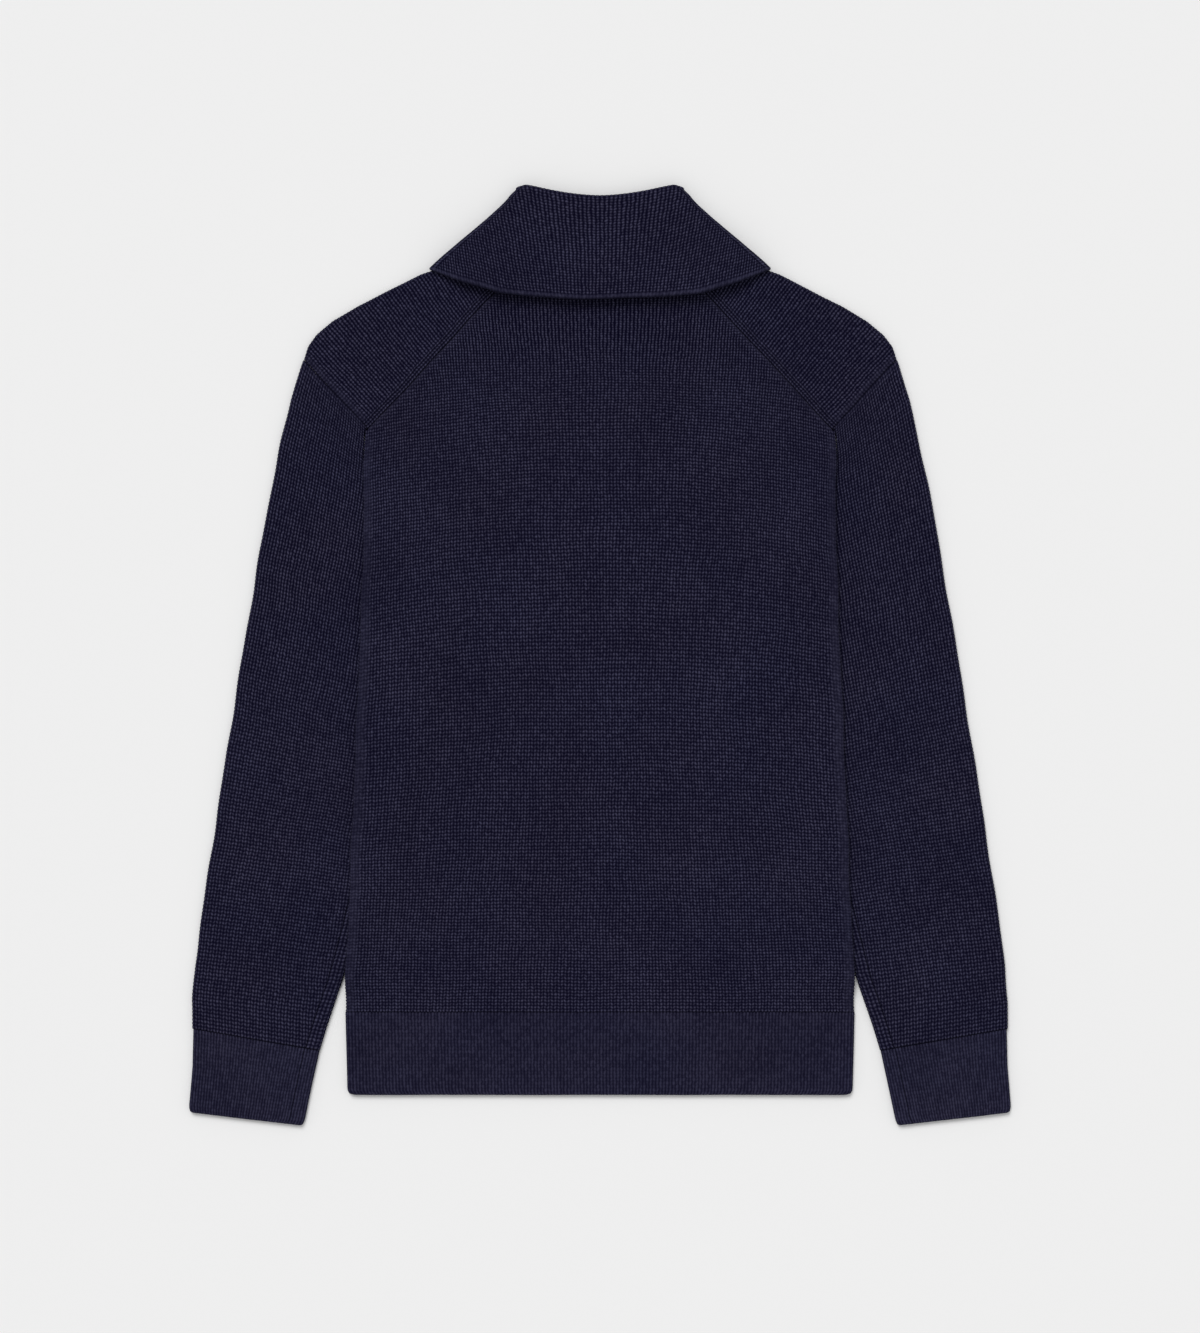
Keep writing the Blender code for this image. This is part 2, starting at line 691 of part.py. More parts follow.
def make_hem_back(material):
    """Ribbed band along the back's lower end, round its sides to the seams beneath."""
    wall = Wall("hem_back")

    def top(u, v):
        x = (2 * u - 1) * (hem_row("edge", v) - REACH)
        middle = np.stack([x, hem_row("y", v), np.full(u.shape, HIGH)], axis=-1)
        out = np.zeros_like(middle)
        out[..., 2] = 1.0
        return middle, out

    def ribbed(u, v):
        return -RIB_DEPTH * np.round(np.abs(np.sin(u * HEM_RIBS * math.pi)))

    rows = steps(len(HEM_ROWS) - 1)
    ends = ("first_v", "last_v")
    wall.patch(top, steps(2 * HEM_RIBS), rows, ends, steps(HEM_BACK_STEPS), ribbed)
    for side in (-1, 1):
        def fold(u, v, side=side):
            centre = np.stack([side * (hem_row("edge", v) - REACH), hem_row("y", v)], axis=-1)
            outward = np.zeros(u.shape + (2,))
            outward[..., 0] = side
            full = np.full(u.shape, HIGH)
            return turn(centre, outward, full, full - LAYER, u * math.pi)

        def strip(u, v, side=side):
            edge = hem_row("edge", v) - REACH
            seam = np.minimum(HEM_ROWS[0][1] - HEM_SEAM, edge - SEAM)
            x = side * (edge + (seam - edge) * u)
            middle = np.stack([x, hem_row("y", v), np.full(u.shape, LOW)], axis=-1)
            out = np.zeros_like(middle)
            out[..., 2] = -1.0
            return middle, out

        wall.patch(fold, steps(FOLD_STEPS), rows, ends)
        wall.patch(strip, steps(STRIP_STEPS), rows, ends + ("last_u",))
    return wall.finish(material)


def make_hem_front(material):
    """Ribbed band along the front's lower end, flat on the floor."""
    wall = Wall("hem_front")

    def sheet(u, v):
        edge = np.minimum(hem_row("edge", v) - REACH - SEAM, HEM_ROWS[0][1] - HEM_SEAM) - SEAM
        middle = np.stack([(2 * u - 1) * edge, hem_row("y", v), np.full(u.shape, LOW)], axis=-1)
        out = np.zeros_like(middle)
        out[..., 2] = -1.0
        return middle, out

    rows = steps(len(HEM_ROWS) - 1)
    wall.patch(sheet, steps(HEM_FRONT_STEPS), rows, ("first_u", "last_u", "first_v", "last_v"))
    return wall.finish(material)


# ------------------------------------------------------------------- collar

def ring_point(ring, name):
    """A named plan point of a collar ring: side, corner, mid or front."""
    row = dict(zip(COLLAR_COLUMNS, COLLAR_RINGS[ring]))
    if name == "mid":
        return np.array([0.0, row["mid_y"]])
    return np.array([row[name + "_x"], row[name + "_y"]])


def collar_plan(ring, stations, out_reach):
    """Plan of a ring's right half at its stations, from the centre front to the back.

    A station from 0 to 1 lies on the front, 1 to 2 on the side's half round, and
    2 to 3 on the back. On the back the ring is a smooth arc through its corner.
    """
    side = ring_point(ring, "side")
    corner = ring_point(ring, "corner")
    mid = ring_point(ring, "mid")
    front = ring_point(ring, "front")
    inward = unit(corner - side)
    tangent = side + inward * out_reach
    front_part = np.clip(stations, 0.0, 1.0)[:, None]
    back_part = np.clip(stations - 2.0, 0.0, 1.0)
    on_front = front + (tangent - front) * front_part
    reach = np.linalg.norm(corner - tangent)
    rest = np.linalg.norm(mid - corner)
    bend = reach / (reach + rest)
    x = np.interp(back_part, [0.0, bend, 1.0], [tangent[0], corner[0], 0.0])
    left = np.clip((1 - back_part) / (1 - bend), 0.0, 1.0)
    y = np.where(back_part < bend,
                 tangent[1] + (corner[1] - tangent[1]) * back_part / bend,
                 mid[1] + (corner[1] - mid[1]) * left ** COLLAR_DIP)
    on_back = np.stack([x, y], axis=-1)
    return np.where((stations <= 1.0)[:, None], on_front, on_back), -inward


def make_collar(material):
    """Collar: a stand from the neckline to the crest, and the fall turned down over it."""
    wall = Wall("collar")
    front_at = np.linspace(0.0, 1.0, COLLAR_FRONT_STEPS + 1)
    side_at = np.linspace(1.0, 2.0, FOLD_STEPS + 1)
    back_at = np.linspace(2.0, 3.0, COLLAR_BACK_STEPS // 2 + 1)
    stations = np.unique(np.concatenate([front_at, side_at, back_at]))
    angle = np.clip(2.0 - stations, 0.0, 1.0) * math.pi     # 0 on the back, pi on the front
    front_share = np.clip(1.0 - stations, 0.0, 1.0)[:, None]
    crest_front = unit(ring_point("crest", "front") - ring_point("crest", "side"))
    up_front = np.array([-crest_front[1], crest_front[0]])
    up_front = up_front if up_front[1] > 0 else -up_front
    up = unit((1 - front_share) * np.array([0.0, 1.0]) + front_share * up_front)

    rings = []
    gap = COLLAR_LAYER / 2
    for k in range(STAND_STEPS):
        rings.append(("neckline", "crest", k / STAND_STEPS, 0.0))
    for k in range(FOLD_STEPS + 1):
        rings.append(("crest", "crest", 0.0, math.pi * k / FOLD_STEPS))
    for k in range(1, FALL_STEPS + 1):
        rings.append(("crest", "edge", k / FALL_STEPS, math.pi))
    middle_rows = []
    out_rows = []
    for first, last, share, bend in rings:
        distance = 2 * gap - gap * math.cos(bend)
        plan_a, way_a = collar_plan(first, stations, distance + wall.half)
        plan_b, way_b = collar_plan(last, stations, distance + wall.half)
        plan = (1 - share) * plan_a + share * plan_b
        way = unit((1 - share) * way_a + share * way_b)
        crest_share = 1 - share if last == "edge" else (share if first == "neckline" else 1.0)
        plan = plan - up * (gap + wall.half) * crest_share
        curled = smooth((share - CURL_START) / (1 - CURL_START))
        curl = COLLAR_CURL * curled if last == "edge" else 0.0
        radial = np.concatenate([way * np.sin(angle)[:, None], np.cos(angle)[:, None]], axis=-1)
        lift = curl * smooth(np.cos(angle))
        centre = np.concatenate([plan, (COLLAR_MIDDLE + lift)[:, None]], axis=-1)
        crown = np.concatenate([up, np.zeros((len(stations), 1))], axis=-1)
        middle_rows.append(centre + radial * distance + crown * gap * math.sin(bend))
        out_rows.append(unit(crown * math.sin(bend) - radial * math.cos(bend)))
    middle = np.array(middle_rows)
    out = np.array(out_rows)
    flip = np.array([-1.0, 1.0, 1.0])
    middle = np.concatenate([middle, (middle * flip)[:, -2::-1]], axis=1)
    out = np.concatenate([out, (out * flip)[:, -2::-1]], axis=1)
    on_back = smooth(np.concatenate([np.cos(angle), np.cos(angle)[-2::-1]]))
    thickness = np.full(middle.shape[:2], wall.half)
    thickness[-2:] += COLLAR_ROLL * on_back
    outer = wall.grid(middle + out * thickness[..., None])
    inner = wall.grid(middle - out * wall.half)
    ring_at = np.arange(len(rings))
    around_at = np.arange(middle.shape[1])
    wall.rim(outer[0], inner[0], around_at, around_at)
    wall.rim(outer[-1], inner[-1], around_at, around_at)
    wall.rim(outer[:, 0], inner[:, 0], ring_at, ring_at)
    wall.rim(outer[:, -1], inner[:, -1], ring_at, ring_at)
    return wall.finish(material)


# ------------------------------------------------------ placket and buttons

def make_band(name, material, z):
    """One band of the placket, with its underside at height z."""
    wall = Wall(name, BAND_CLOTH)

    def sheet(u, v):
        x = (u - 0.5) * BAND_WIDTH
        y = BAND_END + SEAM + (NECK_FRONT - BAND_END - 2 * SEAM) * v
        middle = np.stack([x, y, np.full(u.shape, z + BAND_CLOTH / 2)], axis=-1)
        out = np.zeros_like(middle)
        out[..., 2] = -1.0
        return middle, out

    wall.patch(sheet, steps(BAND_STEPS), steps(BAND_ROWS), ("first_u", "last_u", "first_v", "last_v"))
    return wall.finish(material)


def make_button(name, material, y):
    """Four hole button, its rimmed face on the floor."""
    work = bmesh.new()
    points = [work.verts.new((radius, 0.0, z)) for radius, z in BUTTON_PROFILE]
    edges = [work.edges.new(pair) for pair in zip(points[:-1], points[1:])]
    bmesh.ops.spin(work, geom=points + edges, cent=(0, 0, 0), axis=(0, 0, 1),
                   angle=2 * math.pi, steps=BUTTON_SEGMENTS, use_merge=True)
    bmesh.ops.remove_doubles(work, verts=work.verts, dist=WELD)
    bmesh.ops.recalc_face_normals(work, faces=work.faces)
    mesh = bpy.data.meshes.new(name)
    work.to_mesh(mesh)
    work.free()
    mesh.materials.append(material)
    button = bpy.data.objects.new(name, mesh)
    bpy.context.scene.collection.objects.link(button)
    button.location = (0.0, y, 0.0)
    work = bmesh.new()
    for k in range(BUTTON_HOLES):
        turned = 2 * math.pi * (k + 0.5) / BUTTON_HOLES
        place = (math.cos(turned) * BUTTON_HOLE_SPACING / 2, math.sin(turned) * BUTTON_HOLE_SPACING / 2)
        made = bmesh.ops.create_cone(work, cap_ends=True, segments=HOLE_SEGMENTS, radius1=BUTTON_HOLE,
                                     radius2=BUTTON_HOLE, depth=4 * BUTTON_THICKNESS)
        bmesh.ops.translate(work, verts=made["verts"], vec=(place[0], place[1], 0.0))
    cutter_mesh = bpy.data.meshes.new(name + "_holes")
    work.to_mesh(cutter_mesh)
    work.free()
    cutter = bpy.data.objects.new(name + "_holes", cutter_mesh)
    bpy.context.scene.collection.objects.link(cutter)
    cutter.parent = button
    cutter.hide_render = True
    cutter.display_type = "WIRE"
    cut = button.modifiers.new("holes", "BOOLEAN")
    cut.operation = "DIFFERENCE"
    cut.object = cutter
    return button


# ------------------------------------------------------------------- the part

def main():
    """Build every piece of the sweater."""
    clear_scene()
    knit = {name: make_material(name + "_knit", NAVY, 0.95)
            for name in ("front", "back", "sleeve_left", "sleeve_right", "collar")}
    rib = {name: make_material(name + "_rib", NAVY_RIB, 0.92)
           for name in ("hem_front", "hem_back", "cuff_left", "cuff_right",
                        "placket_outer", "placket_under")}
    make_front(knit["front"])
    make_back(knit["back"])
    for name, side in (("left", -1), ("right", 1)):
        make_tube("sleeve_" + name, knit["sleeve_" + name], side, SLEEVE_ROWS, ARMPIT_ROW)
        make_tube("cuff_" + name, rib["cuff_" + name], side, CUFF_ROWS, 0, CUFF_RIBS)
    make_hem_back(rib["hem_back"])
    make_hem_front(rib["hem_front"])
    make_collar(knit["collar"])
    make_band("placket_outer", rib["placket_outer"], BUTTON_THICKNESS + SEAM)
    make_band("placket_under", rib["placket_under"], BUTTON_THICKNESS + BAND_CLOTH + 2 * SEAM)
    for number, y in enumerate(BUTTON_HEIGHTS, start=1):
        name = "button_" + str(number)
        make_button(name, make_material(name + "_horn", HORN, 0.35), y)


main()
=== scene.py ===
# %% [markdown]
# # A heavy knit sweater, laid face down
# The sweater lies flat on a pale floor with its back up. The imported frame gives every
# piece as a plain solid of the right size. This lesson dresses each one as real knitwear:
# every panel becomes a thin shell of cloth. Its stitches are raised one by one where they
# show, and the yarn itself is left to the material.

# %% Load the frame
import math

import bmesh
import bpy
import numpy as np
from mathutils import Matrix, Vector


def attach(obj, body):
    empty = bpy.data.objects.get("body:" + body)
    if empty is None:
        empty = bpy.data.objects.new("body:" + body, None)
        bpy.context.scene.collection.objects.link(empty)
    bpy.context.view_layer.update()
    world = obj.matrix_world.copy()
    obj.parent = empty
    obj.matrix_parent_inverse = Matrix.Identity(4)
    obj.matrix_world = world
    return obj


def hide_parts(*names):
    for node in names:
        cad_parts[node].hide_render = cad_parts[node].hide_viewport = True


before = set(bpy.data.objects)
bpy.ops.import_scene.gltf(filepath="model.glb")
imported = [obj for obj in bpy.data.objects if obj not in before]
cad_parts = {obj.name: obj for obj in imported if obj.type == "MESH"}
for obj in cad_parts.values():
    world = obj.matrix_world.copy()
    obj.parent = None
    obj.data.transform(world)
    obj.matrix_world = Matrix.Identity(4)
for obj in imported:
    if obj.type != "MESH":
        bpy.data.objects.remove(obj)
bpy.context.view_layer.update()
print("nodes:", sorted(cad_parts))

# %% [markdown]
# ## Camera, floor and light
# A flat lay is shot from straight above. The camera looks down from three metres with a
# long lens, so that the picture has almost no perspective. A sun gives the same light all
# over the floor, which an area lamp would not, and its wide angle keeps the shadows soft.

# %% Camera straight above
PICTURE = (1200, 1333)          # the image's size in pixels
PIXEL = 0.00084                 # metres on the floor for one pixel of the picture
SENSOR = 0.036                  # long side of the sensor
LENS = 0.100                    # focal length
PICTURE_CENTRE = (0.0000, -0.0097)
GARMENT_MIDDLE = 0.005          # height that the picture's scale holds at

distance = PICTURE[1] * PIXEL * LENS / SENSOR
camera_data = bpy.data.cameras.new("camera")
camera_data.lens = LENS * 1000
camera_data.sensor_width = SENSOR * 1000
camera = bpy.data.objects.new("camera", camera_data)
camera.location = (*PICTURE_CENTRE, distance + GARMENT_MIDDLE)
bpy.context.scene.collection.objects.link(camera)
bpy.context.scene.camera = camera
print("camera height:", round(camera.location.z, 3), "m")

# %% Pale floor and studio light
FLOOR_SIDE = 40.0
FLOOR_COLOUR = (0.90, 0.90, 0.90, 1.0)
SKY_STRENGTH = 0.56
SUN_STRENGTH = 1.6
SUN_FROM = (-0.32, 0.75, 1.0)   # the key light comes from beyond the collar, a little left
SUN_ANGLE = 32.0


def plain_material(name, colour, roughness):
    """A Principled material of one colour."""
    material = bpy.data.materials.new(name)
    material.use_nodes = True
    shader = material.node_tree.nodes["Principled BSDF"]
    shader.inputs["Base Color"].default_value = colour
    shader.inputs["Roughness"].default_value = roughness
    return material


half_floor = FLOOR_SIDE / 2
floor_mesh = bpy.data.meshes.new("floor")
floor_mesh.from_pydata([(-half_floor, -half_floor, 0), (half_floor, -half_floor, 0),
                        (half_floor, half_floor, 0), (-half_floor, half_floor, 0)],
                       [], [(0, 1, 2, 3)])
floor = bpy.data.objects.new("floor", floor_mesh)
floor.data.materials.append(plain_material("floor_paper", FLOOR_COLOUR, 0.9))
bpy.context.scene.collection.objects.link(floor)

sun_data = bpy.data.lights.new("key", "SUN")
sun_data.energy = SUN_STRENGTH
sun_data.angle = math.radians(SUN_ANGLE)
sun = bpy.data.objects.new("key", sun_data)
sun.rotation_mode = "QUATERNION"
sun.rotation_quaternion = Vector(SUN_FROM).to_track_quat("Z", "Y")
bpy.context.scene.collection.objects.link(sun)

bpy.context.scene.view_settings.view_transform = "Standard"

world = bpy.data.worlds.new("studio")
world.use_nodes = True
world.node_tree.nodes["Background"].inputs["Color"].default_value = (1.0, 1.0, 1.0, 1.0)
world.node_tree.nodes["Background"].inputs["Strength"].default_value = SKY_STRENGTH
bpy.context.scene.world = world

# %% [markdown]
# ## How the garment lies
# The pile has up to six layers of cloth. Its sizes are those of the solids: where each
# layer lies, how wide a fold is, and where every seam runs. They are short tables with
# named columns, and each shape below reads them at any height with a straight line
# between two rows.

# %% Cloth, layers and seams
CLOTH = 0.0022                  # thickness of the knit
LAYER = 0.0028                  # from one laid layer to the next
SEAM = 0.0003                   # gap between two pieces
LOW = CLOTH / 2                 # middle of the floor layer
HIGH = LOW + LAYER              # middle of the layer above it
FOLD = LAYER / 2                # radius of a fold, to the middle of the cloth
REACH = FOLD + CLOTH / 2        # from a fold's centre to its outer side
V_POINT = 0.1885                # where shoulder seam, sleeve and side fold meet
BAND_END = 0.0920               # lower end of the placket
NECK_FRONT = 0.2604


def smooth(x):
    """Soft step: 3x^2 - 2x^3 between 0 and 1."""
    x = np.clip(x, 0.0, 1.0)
    return x * x * (3.0 - 2.0 * x)


def unit(vectors):
    """Vectors scaled to length 1."""
    return vectors / np.maximum(np.linalg.norm(vectors, axis=-1, keepdims=True), 1e-12)


def read(table, at, name, along="y"):
    """Column name of a table at the places `at` of its column `along`, by straight lines."""
    columns, rows = table
    rows = np.array(rows)
    place = rows[:, columns.index(along)]
    value = rows[:, columns.index(name)]
    order = np.argsort(place)
    return np.interp(at, place[order], value[order])


BODY_SIDE = (("y", "edge", "seam", "front", "drop"), (
    (-0.3001, 0.2141, 0.2043, 0.2040, 1.0),
    (-0.2680, 0.2141, 0.2020, 0.2017, 1.0),
    (-0.2200, 0.2117, 0.1885, 0.1882, 1.0),
    (-0.1600, 0.2093, 0.1720, 0.1717, 1.0),
    (-0.1000, 0.2068, 0.1556, 0.1553, 1.0),
    (-0.0500, 0.2047, 0.1420, 0.1417, 1.0),
    (0.0000, 0.2026, 0.1283, 0.1280, 1.0),
    (0.0294, 0.2013, 0.1318, 0.1312, 0.0),
    (0.0600, 0.2003, 0.1466, 0.1483, 0.0),
    (0.0800, 0.1997, 0.1563, 0.1580, 0.0),
    (0.0920, 0.1993, 0.1621, 0.1638, 0.0),
    (0.1400, 0.1987, 0.1854, 0.1871, 0.0),
    (0.1640, 0.1986, 0.1945, 0.1942, 0.0),
    (0.1885, 0.1985, 0.1945, 0.1942, 0.0),
))
SLEEVE_EDGE = (("y", "x"), (
    (-0.3326, 0.2352), (-0.2865, 0.2212), (-0.2688, 0.2155), (0.0294, 0.1340),
    (0.1640, 0.1992), (0.1930, 0.1990)))

# %% [markdown]
# ## The height of the pile
# Under the back lie the sleeves at the sides, and the collar's leaves and the placket
# near the neck. Each lifts the layers above it by its own thickness, and the cloth runs
# down softly beside it. A cloth simulation would settle the layers too, but it would also
# move the outline. Here a soft step beside each edge gives the same rise from one formula.

# %% Heights over the sleeves, leaves and placket
SLEEVE_RISE = 2 * LAYER
SLEEVE_SLOPE = 0.035
LEAF_RISE_FRONT = 0.0030
LEAF_RISE_BACK = 0.0033
LEAF_SLOPE = 0.040
LEAF_FOOT = (0.0500, 0.2100)
LEAF_SIDE = (0.1441, 0.3236)
PLACKET_LEAD = 0.0120
SLIT = 0.0153                   # half width of the opening for the placket
FOLD_RISE = (-0.2950, -0.2680, 0.1660)


def leaf_share(x, y):
    """1 over the collar's leaves and the placket, falling to 0 over LEAF_SLOPE around."""
    wide = np.interp(y, [LEAF_FOOT[1], LEAF_SIDE[1]], [LEAF_FOOT[0], LEAF_SIDE[0]])
    leaves = ((1 - smooth((np.abs(x) - wide) / LEAF_SLOPE))
              * (1 - smooth((LEAF_FOOT[1] - y) / LEAF_SLOPE)))
    strip = ((1 - smooth((np.abs(x) - SLIT) / LEAF_SLOPE))
             * (1 - smooth((BAND_END - PLACKET_LEAD - y) / LEAF_SLOPE)))
    return np.maximum(leaves, strip)


def sleeve_share(x, y):
    """1 where the back lies on a sleeve, falling to 0 inside the sleeve's hidden edge."""
    low, high, top = FOLD_RISE
    window = smooth((y - low) / (high - low)) * smooth((V_POINT - y) / (V_POINT - top))
    return window * (1 - smooth((read(SLEEVE_EDGE, y, "x") - np.abs(x)) / SLEEVE_SLOPE))


def front_height(x, y):
    """Middle of the front's cloth: the floor layer, higher over the leaves."""
    return LOW + LEAF_RISE_FRONT * leaf_share(x, y)


def back_height(x, y):
    """Middle of the back's cloth: the second layer, higher over leaves and sleeves."""
    return HIGH + np.maximum(LEAF_RISE_BACK * leaf_share(x, y), SLEEVE_RISE * sleeve_share(x, y))


# %% [markdown]
# ## Swells and drift
# Laid cloth is never quite flat. It keeps faint swells where it was pulled or folded, so
# a table of ridges lifts the upper layers by about a millimetre. The lift
# grows with the height in the pile, so no two layers meet. The rows of stitches aren't
# quite straight either: a sum of slow sines moves them by less than half a millimetre.

# %% Soft swells and the drift of the stitches
SWELLS = (("x", "y", "turn", "length", "width", "height"), (
    (-0.120, 0.120, 62.0, 0.110, 0.022, 0.0013),
    (-0.060, 0.020, 74.0, 0.150, 0.030, 0.0011),
    (0.095, 0.085, 112.0, 0.130, 0.026, 0.0014),
    (0.150, 0.010, 98.0, 0.120, 0.018, 0.0010),
    (0.020, -0.090, 88.0, 0.160, 0.034, 0.0009),
    (-0.130, -0.110, 102.0, 0.140, 0.024, 0.0013),
    (0.110, -0.150, 80.0, 0.120, 0.028, 0.0012),
    (-0.040, -0.215, 94.0, 0.090, 0.022, 0.0010),
    (0.170, -0.230, 84.0, 0.080, 0.016, 0.0009),
    (-0.178, -0.215, 97.0, 0.090, 0.015, 0.0010),
    (-0.030, 0.205, 12.0, 0.120, 0.030, 0.0010),
    (0.120, 0.235, 140.0, 0.090, 0.022, 0.0011),
    (-0.150, 0.240, 42.0, 0.080, 0.018, 0.0012),
    (-0.250, 0.120, 74.0, 0.090, 0.016, 0.0014),
    (-0.262, -0.020, 81.0, 0.120, 0.020, 0.0012),
    (-0.300, -0.130, 80.0, 0.100, 0.014, 0.0011),
    (-0.285, -0.235, 72.0, 0.070, 0.015, 0.0013),
    (0.244, 0.140, 104.0, 0.080, 0.018, 0.0013),
    (0.275, 0.010, 98.0, 0.110, 0.016, 0.0012),
    (0.262, -0.120, 100.0, 0.120, 0.021, 0.0013),
    (0.312, -0.225, 96.0, 0.080, 0.014, 0.0011),
    (-0.090, -0.335, 8.0, 0.120, 0.012, 0.0006),
    (0.105, -0.330, 172.0, 0.100, 0.012, 0.0007),
    (0.000, 0.350, 4.0, 0.090, 0.016, 0.0008),
))
FULL_LIFT = 0.0050              # height in the pile from which a swell lifts fully
DRIFT = 0.0004                  # how far the stitches wander from their straight lines
DRIFT_ENDS = (-0.282, 0.300)    # beyond them the bands' ribs and the collar keep straighter
DRIFT_LOSS = 0.8                # by this share of the drift
DRIFT_FADE = 0.02               # it dies down over this length


def swell(x, y):
    """Sum of long soft ridges: each is a bell across its width, times one along its length."""
    total = np.zeros_like(x)
    for cx, cy, turn, length, width, height in SWELLS[1]:
        angle = math.radians(turn)
        forward = (x - cx) * math.cos(angle) + (y - cy) * math.sin(angle)
        across = (y - cy) * math.cos(angle) - (x - cx) * math.sin(angle)
        total += height * np.exp(-(forward / length) ** 2 * 2 - (across / width) ** 2)
    return total


def settle(points):
    """Lift points by the swells, fully from FULL_LIFT up, and let the stitches drift.

    The drift is a sum of sines of x and y whose phases sway with the other one.
    """
    x, y, z = points[:, 0], points[:, 1], points[:, 2]
    lifted = z + swell(x, y) * smooth(z / FULL_LIFT)
    beyond = smooth((DRIFT_ENDS[0] - y) / DRIFT_FADE) + smooth((y - DRIFT_ENDS[1]) / DRIFT_FADE)
    drift = DRIFT * (1 - DRIFT_LOSS * beyond)
    dx = drift * (np.sin(61 * y + 2.1 * np.sin(23 * x)) + 0.6 * np.sin(117 * y + 37 * x))
    dy = drift * (np.sin(53 * x + 1.7 * np.sin(31 * y)) + 0.5 * np.sin(101 * x - 43 * y))
    return np.stack([x + dx, y + dy, lifted], axis=-1)


print("swells:", len(SWELLS[1]), "highest", max(row[-1] for row in SWELLS[1]) * 1000, "mm")


# %% [markdown]
# ## Walls of knit
# Half cardigan stitch is a field of small rounded beads, one for each stitch. A panel is
# therefore a grid with one cell for each stitch: the cell's corners lie in the hollows
# between the stitches, and a point in its middle stands up as the bead. That is four
# triangles a stitch, so a whole back of thirty thousand stitches can be real relief. A
# displacement by a picture would need far more of them. The cloth's inner side is a
# plain, coarse grid, and a rim joins the two along free edges.

# %% Turn a mesh into a piece of the sweater
WELD = 2e-6                     # points closer than this are one


def add_piece(mesh, material, node=None):
    """Weld a mesh, turn its faces outwards and let it stand for its node, if it has one."""
    work = bmesh.new()
    work.from_mesh(mesh)
    bmesh.ops.remove_doubles(work, verts=work.verts, dist=WELD)
    loose = [vertex for vertex in work.verts if not vertex.link_faces]
    bmesh.ops.delete(work, geom=loose, context="VERTS")
    bmesh.ops.recalc_face_normals(work, faces=work.faces)
    open_edges = sum(1 for edge in work.edges if len(edge.link_faces) != 2)
    work.to_mesh(mesh)
    work.free()
    mesh.shade_smooth()
    mesh.materials.append(material)
    piece = bpy.data.objects.new(mesh.name, mesh)
    bpy.context.scene.collection.objects.link(piece)
    if node:
        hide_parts(node)
    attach(piece, "root")
    print(f"{piece.name}: {len(mesh.polygons)} faces, {open_edges} open edges")
    return piece


# %% A wall with raised stitches outside
STITCH_DEPTH = 0.0006           # from a bead's top to the hollow at its corners
CLOSED = 1e-6                   # a cell narrower than this was drawn together and is left out
FLAT_TRIANGLE = 1e-11           # a triangle of less than half this area is left out


def cross(u, v):
    """Two lists of steps as a grid: u changes along a row, v from row to row."""
    grid_v, grid_u = np.meshgrid(v, u, indexing="ij")
    return grid_u, grid_v


